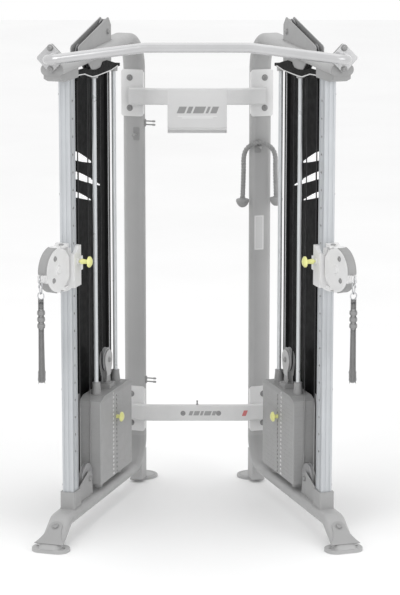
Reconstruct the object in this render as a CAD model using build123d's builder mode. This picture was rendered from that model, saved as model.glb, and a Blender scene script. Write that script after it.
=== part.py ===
"""Dual adjustable cable crossover: two splayed weight-stack towers joined by crossbeams and a pull-up bar.

The row frame has +X to the right, +Y to the rear and +Z up, with its origin on the floor under the middle
of the machine. A tower is made in its own frame (X inwards across the tower, Y rearwards along it, Z up,
origin on the floor under the upright), then placed on the left and mirrored to the right.
"""
from build123d import *
import os
from math import acos, asin, atan2, cos, degrees, pi, radians, sin, sqrt

os.makedirs("parts", exist_ok=True)

# ---------------------------------------------------------------- driving dimensions, in millimetres
SPLAY = 17.9                 # degrees between a tower's own plane and straight back
HALF_SPAN = 548              # upright centre to the machine's middle plane

FOOT_S = -245                # front pad centre, along the tower
FOOT_LENGTH, FOOT_DEPTH, FOOT_CORNER, FOOT_THICK = 164, 103, 46, 15
DISC_S, DISC_RADIUS, DISC_THICK = 968, 65, 12

TUBE_WIDTH, TUBE_DEPTH, TUBE_WALL = 100, 50, 3
RAIL_Z, KNEE_S, KNEE_RADIUS, LOW_BEND = 100, -116, 70, 130
RAIL_TOP = RAIL_Z + TUBE_DEPTH / 2
COLUMN_S, COLUMN_FOOT, COLUMN_HEAD = 861, 235, 1925
ARM_FRONT_S, ARM_FRONT_Z, ARM_CORNER_Z, TOP_BEND = -167, 2048, 2086, 150

UPRIGHT_WIDTH, UPRIGHT_DEPTH, UPRIGHT_WALL = 50, 68, 5
UPRIGHT_FOOT, UPRIGHT_HEAD = 162, 1994
HOLE_PITCH, HOLE_COUNT, HOLE_TOP, HOLE_RADIUS = 76.2, 21, 1899, 5.5

ROD_S, ROD_RADIUS, ROD_TOP = (333, 585), 9.5, 1970
CAP_LOW, CAP_THICK = 1970, 12

STACK_S, PLATE_LENGTH, PLATE_WIDTH, PLATE_PITCH = 460, 410, 99, 19.4
STACK_FOOT, PLATE_COUNT, LIFTED_COUNT = 157, 19, 6
PLATE_THICK = PLATE_PITCH - 0.4
HEAD_FOOT = STACK_FOOT + PLATE_COUNT * PLATE_PITCH
HEAD_TOP, COLLAR_TOP = HEAD_FOOT + 24, 598
STEM_RADIUS, PIN_RADIUS = 12.5, 4.75

CABLE_RADIUS = 2.5
PULLEY_WIDTH, AXLE_RADIUS, RUNNING = 16, 6, 0.08
FRONT_RUN_S = 125            # the cable's run behind the upright, which the carriage rides along
UP_RUN_S = 249               # its run back up, just in front of the stack

SWIVEL_S, SWIVEL_Z, SWIVEL_TURN = -85, 1200, 12.1
PULLEY_REACH = 50            # swivel axis to its pulley's axle
CHEEK_RADIUS, GUARD_RADIUS, GUARD_WIDTH = 90, 98, 40

BEAM_Z, BEAM_HEIGHT, BEAM_DEPTH = (350, 1812), 75, 28
BRACKET_HEIGHT, BRACKET_WIDTH, BRACKET_RISE = 212, 104, 11

BAR_RADIUS, BAR_WALL, BAR_Y, BAR_Z, BAR_CROWN_Z = 21, 3, -256, 2098, 2152
BAR_ELBOW_X, BAR_CROWN_X = 632, 215

# pulleys of each tower: name, position along the tower, height, radius at the cable's centre
PULLEYS = {
    "front_top": (FRONT_RUN_S + 40, 2075, 40),
    "middle_top": ((UP_RUN_S + STACK_S - 51) / 2, 2060, (STACK_S - 51 - UP_RUN_S) / 2),
    "rear_top": (STACK_S - 1, 2140, 50),
    "low": ((FRONT_RUN_S + UP_RUN_S) / 2, 202, (UP_RUN_S - FRONT_RUN_S) / 2),
    "float": (STACK_S - 1, 677, 50),
}

# ---------------------------------------------------------------- frames
splay_sin = sin(radians(SPLAY))
splay_cos = cos(radians(SPLAY))


def reach(half_length, half_depth, corner):
    """Half the front-to-rear extent of a rounded rectangle turned by the splay."""
    return (half_length - corner) * splay_sin + (half_depth - corner) * splay_cos + corner


front_edge = FOOT_S * splay_cos - reach(FOOT_LENGTH / 2, FOOT_DEPTH / 2, FOOT_CORNER)
rear_edge = DISC_S * splay_cos + DISC_RADIUS
UPRIGHT_Y = -(front_edge + rear_edge) / 2

TOWER = Plane(origin=(-HALF_SPAN, UPRIGHT_Y, 0), x_dir=(splay_cos, -splay_sin, 0), z_dir=(0, 0, 1))
turn_sin = sin(radians(SWIVEL_TURN))
turn_cos = cos(radians(SWIVEL_TURN))
# the swivel's own frame: X outwards along the pulley's plane, Y across it, Z up from the axle's height
SWIVEL = Plane(origin=(0, SWIVEL_S, SWIVEL_Z), x_dir=(-turn_sin, -turn_cos, 0), z_dir=(0, 0, 1))


def in_row(n, s, z):
    """A point of the tower's frame, in the row frame."""
    return Vector(-HALF_SPAN + n * splay_cos + s * splay_sin, UPRIGHT_Y - n * splay_sin + s * splay_cos, z)


def write(shape, label):
    shape.label = label
    export_step(shape, f"parts/{label}.step")


def both_sides(part):
    """The left copy of a tower's part, and its mirror image on the right."""
    left = TOWER.location * part
    return left, mirror(left, about=Plane.YZ)


def write_each(part, label):
    """One node for each tower."""
    left, right = both_sides(part)
    write(left, f"{label}_left")
    write(right, f"{label}_right")


def write_shared(part, label):
    """One node that holds the same pieces of both towers."""
    left, right = both_sides(part)
    write(Compound(left.solids() + right.solids()), label)


def across(n):
    """The plane of a side view, n inwards of the tower's middle: sketch X is rearwards, sketch Y is up."""
    return Plane.YZ.offset(n)


# ---------------------------------------------------------------- frame tubes
def flat_oval(path, hollow=True):
    """The frame tube's section at the start of a path, its width across the tower."""
    with BuildSketch(Plane(origin=path @ 0, x_dir=(1, 0, 0), z_dir=path % 0)) as section:
        SlotOverall(TUBE_WIDTH, TUBE_DEPTH)
        if hollow:
            SlotOverall(TUBE_WIDTH - 2 * TUBE_WALL, TUBE_DEPTH - 2 * TUBE_WALL, mode=Mode.SUBTRACT)
    return section.sketch


with BuildPart() as base_rail:
    with BuildLine(Plane.YZ) as rail_line:
        FilletPolyline(
            (FOOT_S - 35, -5), (KNEE_S, RAIL_Z), (COLUMN_S, RAIL_Z), (COLUMN_S, COLUMN_FOOT),
            radius=[KNEE_RADIUS, LOW_BEND],
        )
    sweep(sections=flat_oval(rail_line.line), path=rail_line.line)
    split(bisect_by=Plane.XY.offset(FOOT_THICK), keep=Keep.TOP)
    # the leg, the rail and the bend are welded end to end
    split(bisect_by=Plane.XZ.offset(-KNEE_S), keep=Keep.BOTH)
    split(bisect_by=Plane.XZ.offset(LOW_BEND - COLUMN_S), keep=Keep.BOTH)
write_each(base_rail.part, "base_rail")

with BuildPart() as column:
    with BuildSketch(Plane((0, COLUMN_S, COLUMN_FOOT))):
        SlotOverall(TUBE_WIDTH, TUBE_DEPTH)
        SlotOverall(TUBE_WIDTH - 2 * TUBE_WALL, TUBE_DEPTH - 2 * TUBE_WALL, mode=Mode.SUBTRACT)
    extrude(amount=COLUMN_HEAD - COLUMN_FOOT)
write_each(column.part, "column")

PLATE_GAP, GUSSET_THICK = 31, 3.5
SLOT_FRONT, SLOT_REAR, SLOT_LOW = 95, 520, 1955
with BuildPart() as top_arm:
    with BuildLine(Plane.YZ) as arm_line:
        FilletPolyline(
            (COLUMN_S, COLUMN_HEAD), (COLUMN_S, ARM_CORNER_Z), (ARM_FRONT_S, ARM_FRONT_Z), radius=TOP_BEND
        )
    sweep(sections=flat_oval(arm_line.line), path=arm_line.line)
    split(bisect_by=Plane.XZ.offset(-ARM_FRONT_S), keep=Keep.BOTTOM)
    with BuildSketch(Plane.XY.offset(SLOT_LOW)):
        with Locations((0, (SLOT_FRONT + SLOT_REAR) / 2)):
            Rectangle(PLATE_GAP + 2 * GUSSET_THICK, SLOT_REAR - SLOT_FRONT)
    extrude(amount=TOP_BEND, mode=Mode.SUBTRACT)
    # the arm is welded to the bend, and its front and rear lengths to the two side walls along the slot
    for joint_s in (SLOT_FRONT, SLOT_REAR, COLUMN_S - TOP_BEND):
        split(bisect_by=Plane.XZ.offset(-joint_s), keep=Keep.BOTH)
write_each(top_arm.part, "top_arm")

# ---------------------------------------------------------------- feet
with BuildPart() as front_foot:
    with BuildSketch(Plane((0, FOOT_S, 0))):
        RectangleRounded(FOOT_LENGTH, FOOT_DEPTH, FOOT_CORNER)
        with Locations((-60, 0), (60, 0)):
            Circle(6, mode=Mode.SUBTRACT)
    extrude(amount=FOOT_THICK)
    fillet(front_foot.edges().group_by(Axis.Z)[-1].group_by(SortBy.LENGTH)[-1], 3)
write_shared(front_foot.part, "front_feet")

# the cover plate lies on the leg's upper face and flares down to the pad
leg_start = Vector(0, FOOT_S - 35, -5)
leg_along = (Vector(0, KNEE_S, RAIL_Z) - leg_start).normalized()
leg_normal = Vector(0, -leg_along.Z, leg_along.Y)
COVER_THICK, COVER_TOP = 5, 128
cover_origin = leg_start + leg_normal * (TUBE_DEPTH / 2)
with BuildPart() as foot_cover:
    with BuildSketch(Plane(origin=cover_origin, x_dir=(1, 0, 0), z_dir=leg_normal)):
        with BuildLine():
            shoulder = RadiusArc((-30, COVER_TOP), (30, COVER_TOP), 30)
            left_side = ThreePointArc((-30, COVER_TOP), (-38, 85), (-66, 30))
            right_side = mirror(left_side, about=Plane.YZ)
            Line(left_side @ 1, right_side @ 1)
        make_face()
    extrude(amount=COVER_THICK)
    split(bisect_by=Plane.XY.offset(FOOT_THICK), keep=Keep.TOP)
write_shared(foot_cover.part, "foot_covers")

POST_WIDTH, POST_DEPTH = 60, 76
with BuildPart() as rear_foot:
    with BuildSketch(Plane((0, DISC_S, 0))):
        Circle(DISC_RADIUS)
    extrude(amount=DISC_THICK)
    fillet(rear_foot.edges().group_by(Axis.Z)[-1], 3)
    # the post runs from the disc forwards to the lower bend's outer face
    with BuildSketch(Plane((0, 0, DISC_THICK))):
        with Locations((0, 893)):
            RectangleRounded(POST_WIDTH, POST_DEPTH, 12)
            RectangleRounded(POST_WIDTH - 2 * TUBE_WALL, POST_DEPTH - 2 * TUBE_WALL, 9, mode=Mode.SUBTRACT)
    extrude(amount=140)
    with BuildLine(Plane.YZ) as bend_line:
        FilletPolyline((400, RAIL_Z), (COLUMN_S, RAIL_Z), (COLUMN_S, 400), radius=LOW_BEND)
    sweep(sections=flat_oval(bend_line.line, hollow=False), path=bend_line.line, mode=Mode.SUBTRACT)
    # the post is welded to the disc
    split(bisect_by=Plane.XY.offset(DISC_THICK), keep=Keep.BOTH)
write_shared(rear_foot.part, "rear_feet")

# ---------------------------------------------------------------- uprights
GROOVE_WIDTH, GROOVE_DEPTH = 9, 2
with BuildPart() as upright:
    with BuildSketch(Plane.XY.offset(UPRIGHT_FOOT)):
        RectangleRounded(UPRIGHT_WIDTH, UPRIGHT_DEPTH, 4)
        RectangleRounded(
            UPRIGHT_WIDTH - 2 * UPRIGHT_WALL, UPRIGHT_DEPTH - 2 * UPRIGHT_WALL, 2, mode=Mode.SUBTRACT
        )
        for side in (-1, 1):
            with Locations((side * 10, -UPRIGHT_DEPTH / 2), (side * 10, UPRIGHT_DEPTH / 2)):
                Rectangle(GROOVE_WIDTH, 2 * GROOVE_DEPTH, mode=Mode.SUBTRACT)
            with Locations((-UPRIGHT_WIDTH / 2, side * 20), (UPRIGHT_WIDTH / 2, side * 20)):
                Rectangle(2 * GROOVE_DEPTH, GROOVE_WIDTH, mode=Mode.SUBTRACT)
    extrude(amount=UPRIGHT_HEAD - UPRIGHT_FOOT)
    # the height-setting holes are in the inner face only
    with BuildSketch(Plane.YZ.offset(UPRIGHT_WIDTH / 2)):
        for row in range(HOLE_COUNT):
            with Locations((0, HOLE_TOP - row * HOLE_PITCH)):
                Circle(HOLE_RADIUS)
    extrude(amount=-2 * UPRIGHT_WALL, mode=Mode.SUBTRACT)
write_shared(upright.part, "uprights")

LOW_S, LOW_Z, LOW_RADIUS = PULLEYS["low"]
FORK_GAP, FORK_THICK = 31, 3.5
with BuildPart() as socket:
    with BuildSketch(Plane((0, 1, RAIL_TOP))):
        RectangleRounded(66, 90, 8)
    extrude(amount=75)
    with BuildSketch(Plane.XY.offset(UPRIGHT_FOOT)):
        RectangleRounded(UPRIGHT_WIDTH, UPRIGHT_DEPTH, 4)
    extrude(amount=75, mode=Mode.SUBTRACT)
    # a fork behind the socket carries the low pulley
    for side in (-1, 1):
        with BuildSketch(across(side * (FORK_GAP + FORK_THICK) / 2)):
            with BuildLine():
                Polyline(
                    (46, RAIL_TOP), (228, RAIL_TOP), (LOW_S + 24, LOW_Z + 18), (LOW_S - 10, LOW_Z + 34),
                    (46, LOW_Z - 10), close=True,
                )
            make_face()
        extrude(amount=FORK_THICK / 2, both=True)
write_shared(socket.part, "upright_sockets")

# ---------------------------------------------------------------- top saddle, gussets and cap
FLANGE_S, FLANGE_SIDE, FLANGE_THICK, FLANGE_GAP, ARM_PLATE = -175, 90, 8, 4, 3
with BuildPart() as saddle:
    # a block between the arm and the head of the upright
    with BuildSketch(across(0)):
        with BuildLine():
            Polyline(
                (ARM_FRONT_S, 2046), (ARM_FRONT_S, 2010), (-120, UPRIGHT_HEAD), (42, UPRIGHT_HEAD),
                (42, 2046), close=True,
            )
        make_face()
    extrude(amount=38, both=True)
    # the plate that closes the arm's front end
    with BuildSketch(Plane((0, ARM_FRONT_S, ARM_FRONT_Z), x_dir=(1, 0, 0), z_dir=(0, -1, 0))):
        SlotOverall(TUBE_WIDTH, TUBE_DEPTH)
    extrude(amount=ARM_PLATE)
    # the flange that the pull-up bar bolts to
    with BuildSketch(Plane((0, FLANGE_S + FLANGE_THICK, BAR_Z), x_dir=(1, 0, 0), z_dir=(0, -1, 0))):
        RectangleRounded(FLANGE_SIDE, FLANGE_SIDE, 10, rotation=45)
    extrude(amount=FLANGE_THICK)
    with BuildLine(Plane.YZ) as arm_solid_line:
        Line((ARM_FRONT_S, ARM_FRONT_Z), (400, ARM_FRONT_Z + (400 - ARM_FRONT_S) * 38 / 1028))
    sweep(
        sections=flat_oval(arm_solid_line.line, hollow=False), path=arm_solid_line.line, mode=Mode.SUBTRACT
    )
    split(bisect_by=Plane.XZ.offset(-ARM_FRONT_S), keep=Keep.BOTH)
write_shared(saddle.part, "top_saddles")

with BuildPart() as gusset:
    with BuildSketch(across(-PLATE_GAP / 2 - GUSSET_THICK)) as gusset_outline:
        with BuildLine():
            Polyline(
                (SLOT_FRONT + 12, 2118), (470, 2203), (504, 2165), (504, 1983), (273, 1983), (215, 2034),
                (SLOT_FRONT + 2, 2034), (SLOT_FRONT + 2, 2110), close=True,
            )
        make_face()
        fillet(gusset_outline.vertices().group_by(Axis.Y)[-1], 14)
    extrude(amount=GUSSET_THICK)
    mirror(about=Plane.YZ)
write_shared(gusset.part, "gusset_plates")

CAP_OUTER_N, CAP_INNER_N, CAP_FRONT_S, CAP_REAR_S = -66, 13, 85, 640
with BuildPart() as cap:
    with BuildSketch(Plane.XY.offset(CAP_LOW)):
        with Locations(((CAP_INNER_N + CAP_OUTER_N) / 2, (CAP_FRONT_S + CAP_REAR_S) / 2)):
            RectangleRounded(CAP_INNER_N - CAP_OUTER_N, CAP_REAR_S - CAP_FRONT_S, 8)
        with Locations((0, PULLEYS["middle_top"][0])):
            Rectangle(PULLEY_WIDTH + 2, 90, mode=Mode.SUBTRACT)
        with Locations(*[(0, s) for s in (FRONT_RUN_S, UP_RUN_S, STACK_S - 51, STACK_S + 49)]):
            Circle(8, mode=Mode.SUBTRACT)
    extrude(amount=CAP_THICK)
write_shared(cap.part, "cap_plates")

# ---------------------------------------------------------------- shroud, a pressed sheet outside the stack
SHEET, CREST_RISE, CREST_SLOPE, PANEL_FRONT_S = 3, 8, 14, 90
crest_edges = [(PANEL_FRONT_S, -66), (96, -66)]
for crest_start, crest_end in ((110, 292), (482, 664)):
    crest_edges += [
        (crest_start, -66 - CREST_RISE), (crest_end, -66 - CREST_RISE),
        (crest_end + CREST_SLOPE, -66), (crest_end + 150, -66),
    ]
crest_edges = crest_edges[:-1] + [(712, -66)]
with BuildPart() as shroud:
    with BuildSketch(Plane.XY.offset(150)):
        with BuildLine():
            Polyline(*[(n, s) for s, n in crest_edges], *[(n - SHEET, s) for s, n in reversed(crest_edges)],
                     close=True)
        make_face()
    extrude(amount=CAP_LOW - 150)
write_shared(shroud.part, "shrouds")

# ---------------------------------------------------------------- weight stack
with BuildPart() as rods:
    for s in ROD_S:
        with BuildSketch(Plane((0, s, RAIL_TOP))):
            Circle(ROD_RADIUS)
        extrude(amount=ROD_TOP - RAIL_TOP)
write_shared(rods.part, "guide_rods")

with BuildPart() as bumpers:
    for s in ROD_S:
        with BuildSketch(Plane((0, s, RAIL_TOP))):
            Circle(24)
            Circle(ROD_RADIUS, mode=Mode.SUBTRACT)
        extrude(amount=STACK_FOOT - RAIL_TOP)
write_shared(bumpers.part, "stack_bumpers")


def weight_plates(first, last):
    """The plates from one count to another, from the bottom up, each with its rod, stem and pin holes."""
    with BuildPart() as plates:
        for count in range(first, last):
            foot = STACK_FOOT + count * PLATE_PITCH
            with BuildSketch(Plane((0, STACK_S, foot))):
                RectangleRounded(PLATE_WIDTH, PLATE_LENGTH, 6)
                with Locations(*[(0, s - STACK_S) for s in ROD_S]):
                    Circle(ROD_RADIUS + 1, mode=Mode.SUBTRACT)
                Circle(STEM_RADIUS + 1.5, mode=Mode.SUBTRACT)
            extrude(amount=PLATE_PITCH if count == PLATE_COUNT - 1 else PLATE_THICK)
            with BuildSketch(Plane.YZ.offset(PLATE_WIDTH / 2)):
                with Locations((STACK_S, foot + PLATE_PITCH / 2)):
                    Circle(PIN_RADIUS + 0.8)
            extrude(amount=-PLATE_WIDTH / 2, mode=Mode.SUBTRACT)
    return plates.part


write_each(weight_plates(0, PLATE_COUNT - LIFTED_COUNT), "resting_plates")
write_each(weight_plates(PLATE_COUNT - LIFTED_COUNT, PLATE_COUNT), "lifted_plates")

FLOAT_S, FLOAT_Z, FLOAT_RADIUS = PULLEYS["float"]
STEM_FOOT = STACK_FOOT + 8
with BuildPart() as stack_head:
    # the top plate, its ends sloped, with a collar round each rod
    with BuildSketch(across(0)):
        with BuildLine():
            Polyline(
                (STACK_S - 205, HEAD_FOOT), (STACK_S + 205, HEAD_FOOT), (STACK_S + 205, HEAD_FOOT + 8),
                (STACK_S + 165, HEAD_TOP), (STACK_S - 165, HEAD_TOP), (STACK_S - 205, HEAD_FOOT + 8),
                close=True,
            )
        make_face()
    extrude(amount=PLATE_WIDTH / 2, both=True)
    for s in ROD_S:
        with BuildSketch(Plane((0, s, HEAD_TOP))):
            Circle(22)
        extrude(amount=COLLAR_TOP - HEAD_TOP, taper=6)
    # the float pulley's clevis: two straps up to round cheeks, with the axle between them
    for side in (-1, 1):
        with BuildSketch(across(side * 11)):
            with Locations((FLOAT_S, FLOAT_Z)):
                Circle(44)
            with Locations((FLOAT_S, (HEAD_TOP + FLOAT_Z) / 2)):
                Rectangle(46, FLOAT_Z - HEAD_TOP)
        extrude(amount=1.75, both=True)
    with BuildSketch(across(0)):
        with Locations((FLOAT_S, FLOAT_Z)):
            Circle(AXLE_RADIUS)
    extrude(amount=18, both=True)
    with BuildSketch(Plane((0, STACK_S, HEAD_TOP))):
        Rectangle(60, 70)
    extrude(amount=22)
    with BuildSketch(Plane((0, 0, HEAD_FOOT))):
        with Locations(*[(0, s) for s in ROD_S]):
            Circle(ROD_RADIUS + 0.6)
    extrude(amount=COLLAR_TOP - HEAD_FOOT, mode=Mode.SUBTRACT)
    # the stem that the selector pin locks into, with a hole at each plate
    with BuildSketch(Plane((0, STACK_S, STEM_FOOT))):
        Circle(STEM_RADIUS)
    extrude(amount=HEAD_FOOT - STEM_FOOT)
    with BuildSketch(across(20)):
        for count in range(PLATE_COUNT):
            with Locations((STACK_S, STACK_FOOT + (count + 0.5) * PLATE_PITCH)):
                Circle(PIN_RADIUS + 0.8)
    extrude(amount=-40, mode=Mode.SUBTRACT)
write_each(stack_head.part, "stack_head")

PIN_Z = HEAD_FOOT - (LIFTED_COUNT - 0.5) * PLATE_PITCH
with BuildPart() as selector_pin:
    with BuildSketch(Plane((0, STACK_S, PIN_Z), x_dir=(1, 0, 0), z_dir=(0, -1, 0))):
        with BuildLine():
            Polyline(
                (-8, 0), (-8, PIN_RADIUS), (PLATE_WIDTH / 2 + 0.5, PIN_RADIUS), (PLATE_WIDTH / 2 + 0.5, 9),
                (62, 8), (69, 10), (70, 22), (75, 22), (81, 14), (84, 0), close=True,
            )
        make_face()
    revolve(axis=Axis((0, STACK_S, PIN_Z), (1, 0, 0)))
write_each(selector_pin.part, "selector_pin")


# ---------------------------------------------------------------- pulleys
def sheave(radius):
    """A grooved wheel about X at the origin; radius is to the cable's centre."""
    with BuildPart() as wheel:
        with BuildSketch(Plane.XY):
            with BuildLine():
                Polyline(
                    (-PULLEY_WIDTH / 2, AXLE_RADIUS + RUNNING), (-PULLEY_WIDTH / 2, radius + 4.5),
                    (-5.5, radius + 4.5), (-3, radius - CABLE_RADIUS - 0.2), (3, radius - CABLE_RADIUS - 0.2),
                    (5.5, radius + 4.5), (PULLEY_WIDTH / 2, radius + 4.5),
                    (PULLEY_WIDTH / 2, AXLE_RADIUS + RUNNING), close=True,
                )
            make_face()
        revolve(axis=Axis.X)
    return wheel.part


for pulley_name, (pulley_s, pulley_z, pulley_radius) in PULLEYS.items():
    write_each(Pos(0, pulley_s, pulley_z) * sheave(pulley_radius), f"pulley_{pulley_name}")

swivel_wheel = SWIVEL.location * Pos(PULLEY_REACH, 0, 0) * Rot(0, 0, 90) * sheave(PULLEY_REACH)
write_each(swivel_wheel, "pulley_swivel")

# ---------------------------------------------------------------- carriage
SLEEVE_GAP = 0.3
CARRIAGE_FRONT = -44.4
EAR_LOW, EAR_HIGH, EAR_RADIUS, TRUNNION_RADIUS = 84, 96, 15, 8
POP_Z = HOLE_TOP - 9 * HOLE_PITCH
with BuildPart() as carriage:
    # the cast face plate, round below and notched at the top
    with BuildSketch(Plane((0, CARRIAGE_FRONT, 0), x_dir=(1, 0, 0), z_dir=(0, -1, 0))):
        with BuildLine():
            Polyline((-40, 1296), (EAR_RADIUS, 1296), (EAR_RADIUS, 1262))
            ThreePointArc((EAR_RADIUS, 1262), (25, 1249), (43, 1256))
            Line((43, 1256), (43, 1140))
            ThreePointArc((43, 1140), (2, 1088), (-50, 1104))
            ThreePointArc((-50, 1104), (-70, 1190), (-40, 1296))
        make_face()
    extrude(amount=CARRIAGE_FRONT + UPRIGHT_DEPTH / 2 + SLEEVE_GAP)
    with BuildSketch(Plane.XY.offset(1104)):
        with Locations((5, 3)):
            RectangleRounded(76, 82, 5)
    extrude(amount=173)
    # the inner wall dips towards the notch
    with BuildSketch(across(UPRIGHT_WIDTH / 2)):
        with BuildLine():
            dip = ThreePointArc((CARRIAGE_FRONT - 1, 1256), (-14, 1254), (14, 1280))
            Polyline(dip @ 1, (CARRIAGE_FRONT - 1, 1280), dip @ 0)
        make_face()
    extrude(amount=30, mode=Mode.SUBTRACT)
    with BuildSketch(Plane.XY.offset(1060)):
        Rectangle(UPRIGHT_WIDTH + 2 * SLEEVE_GAP, UPRIGHT_DEPTH + 2 * SLEEVE_GAP)
    extrude(amount=260, mode=Mode.SUBTRACT)
    # ears that hold the swivel's trunnions
    for low in (SWIVEL_Z + EAR_LOW, SWIVEL_Z - EAR_HIGH):
        with BuildSketch(Plane.XY.offset(low)):
            with Locations((0, (SWIVEL_S + CARRIAGE_FRONT) / 2 + 2)):
                Rectangle(2 * EAR_RADIUS, CARRIAGE_FRONT - SWIVEL_S + 4)
            with Locations((0, SWIVEL_S)):
                Circle(EAR_RADIUS)
                Circle(TRUNNION_RADIUS + RUNNING, mode=Mode.SUBTRACT)
        extrude(amount=EAR_HIGH - EAR_LOW)
    # the block behind the upright that the cable is made fast to and runs through
    with BuildSketch(Plane.XY.offset(1150)):
        with Locations((0, 91)):
            Rectangle(28, 96)
        with Locations((0, FRONT_RUN_S)):
            Circle(CABLE_RADIUS + 2, mode=Mode.SUBTRACT)
    extrude(amount=60)
    # the pop pin's barrel, on the inner side
    with BuildSketch(Plane.YZ.offset(40)):
        with Locations((0, POP_Z)):
            Circle(13)
    extrude(amount=10)
    with BuildSketch(Plane.YZ.offset(20)):
        with Locations((0, POP_Z)):
            Circle(4.5 + RUNNING)
    extrude(amount=50, mode=Mode.SUBTRACT)
write_each(carriage.part, "carriage")

with BuildPart() as pop_pin:
    with BuildSketch(Plane((0, 0, POP_Z), x_dir=(1, 0, 0), z_dir=(0, -1, 0))):
        with BuildLine():
            Polyline(
                (33.5, 0), (33.5, 4.5), (59, 4.5), (59, 12), (82, 9), (91, 12), (92, 23.5), (98, 23.5),
                (105, 15), (109, 0), close=True,
            )
        make_face()
    revolve(axis=Axis((0, 0, POP_Z), (1, 0, 0)))
write_each(pop_pin.part, "pop_pin")

# ---------------------------------------------------------------- swivel housing
HANG_X, HANG_Z, HANG_PIN_RADIUS = 160, -22, 3
with BuildPart() as housing:
    # round cheeks each side of the pulley, cut back behind the swivel's axis
    for side in (-1, 1):
        with BuildSketch(Plane.XZ.offset(side * 18)):
            with Locations((PULLEY_REACH, 0)):
                Circle(CHEEK_RADIUS)
            with Locations((-70, 0)):
                Rectangle(76, 200, mode=Mode.SUBTRACT)
        extrude(amount=2, both=True)
    # the crescent guard round the front
    with BuildSketch(Plane.XZ):
        with Locations((PULLEY_REACH, 0)):
            Circle(GUARD_RADIUS)
            Circle(CHEEK_RADIUS, mode=Mode.SUBTRACT)
        with Locations((-63, 0)):
            Rectangle(200, 300, mode=Mode.SUBTRACT)
    extrude(amount=GUARD_WIDTH / 2, both=True)
    # webs and trunnions at the top and bottom
    for side in (-1, 1):
        with BuildSketch(Plane((0, 0, side * 68))):
            Rectangle(28, 34)
        extrude(amount=6, both=True)
        with BuildSketch(Plane((0, 0, side * 85))):
            Circle(TRUNNION_RADIUS)
        extrude(amount=12, both=True)
    with BuildSketch(Plane.XZ):
        with Locations((PULLEY_REACH, 0)):
            Circle(AXLE_RADIUS)
    extrude(amount=23, both=True)
    # the cable's exit block, forked for the hook's pin
    with BuildSketch(Plane.XY.offset(HANG_Z - 12)):
        with Locations((154.5, 0)):
            Rectangle(23, 24)
        with Locations((HANG_X, 0)):
            Rectangle(36, 7.4, mode=Mode.SUBTRACT)
    extrude(amount=26)
    with BuildSketch(Plane.XZ):
        with Locations((HANG_X, HANG_Z)):
            Circle(HANG_PIN_RADIUS)
    extrude(amount=12, both=True)
write_each(SWIVEL.location * housing.part, "swivel_housing")

# ---------------------------------------------------------------- snap hook, strap and grip
HANG = Plane(origin=(HANG_X, 0, HANG_Z))
HOOK_WIRE, HOOK_HALF, HOOK_TOE, HOOK_RUN = 3, 12, 7, 50
hook_top = HANG_PIN_RADIUS + HOOK_WIRE + 0.3 - HOOK_HALF
hook_low = hook_top - HOOK_RUN
hook_lean = asin((HOOK_HALF - HOOK_TOE) / HOOK_RUN)
wide_x, wide_z = HOOK_HALF * cos(hook_lean), hook_top - HOOK_HALF * sin(hook_lean)
toe_x, toe_z = HOOK_TOE * cos(hook_lean), hook_low - HOOK_TOE * sin(hook_lean)
with BuildPart() as snap_hook:
    with BuildLine(Plane.XZ) as hook_line:
        Line((-toe_x, toe_z), (-wide_x, wide_z))
        ThreePointArc((-wide_x, wide_z), (0, hook_top + HOOK_HALF), (wide_x, wide_z))
        Line((wide_x, wide_z), (toe_x, toe_z))
        ThreePointArc((toe_x, toe_z), (0, hook_low - HOOK_TOE), (-toe_x, toe_z))
    with BuildSketch(Plane(origin=hook_line.line @ 0, z_dir=hook_line.line % 0)):
        Circle(HOOK_WIRE)
    sweep(path=hook_line.line)
    # the ring it holds, turned a quarter
    with BuildSketch(Plane.XZ):
        with Locations((0, hook_low - HOOK_TOE + HOOK_WIRE + 0.3 + 2.5)):
            Circle(2.5)
    RING_RADIUS = 15
    ring_z = hook_low - HOOK_TOE + HOOK_WIRE + 0.3 + 2.5 - RING_RADIUS
    revolve(axis=Axis((0, 0, ring_z), (1, 0, 0)))
write_each(SWIVEL.location * HANG.location * snap_hook.part, "snap_hook")

GRIP_TURN = 33                # degrees from the pulley's plane to the grip's own axis
GRIP_Z, GRIP_RADIUS, GRIP_BORE, GRIP_HALF = -416, 16, 10, 62
NECK_TOP = ring_z - RING_RADIUS - 2.5 - 0.3
NECK_LOW = -226
# the handle's frame: X across the webbing, Y along the grip
GRIP = Plane(origin=(HANG_X, 0, HANG_Z), x_dir=(-sin(radians(GRIP_TURN)), cos(radians(GRIP_TURN)), 0))
with BuildPart() as strap:
    with BuildSketch(Plane.XY.offset(NECK_LOW)):
        RectangleRounded(24, 16, 6)
    extrude(amount=NECK_TOP - NECK_LOW)
    with Locations(*[(0, 0, z) for z in (-144, -172, -200)]):
        Cylinder(16, 20)
    with BuildSketch(Plane.YZ):
        with BuildLine():
            leg = Polyline((5, NECK_LOW + 4), (GRIP_HALF + 2, GRIP_Z + 22), (GRIP_HALF + 2, GRIP_Z - 12))
        trace(leg, line_width=3)
    extrude(amount=14, both=True)
    mirror(about=Plane.XZ)
    # the two legs are sewn to the neck
    split(bisect_by=Plane.XY.offset(NECK_LOW), keep=Keep.BOTH)
write_each(SWIVEL.location * GRIP.location * strap.part, "handle_strap")

with BuildPart() as grip:
    with BuildSketch(Plane.XZ):
        with Locations((0, GRIP_Z)):
            Circle(GRIP_RADIUS)
            Circle(GRIP_BORE, mode=Mode.SUBTRACT)
    extrude(amount=GRIP_HALF, both=True)
write_each(SWIVEL.location * GRIP.location * grip.part, "handle_grip")

# ---------------------------------------------------------------- cables
RUN_TOP = 2060               # the height at which the runs to the stack begin
FRONT_TOP_S, FRONT_TOP_Z, FRONT_TOP_R = PULLEYS["front_top"]
MIDDLE_S, MIDDLE_Z, MIDDLE_R = PULLEYS["middle_top"]
REAR_S, REAR_Z, REAR_R = PULLEYS["rear_top"]
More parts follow.
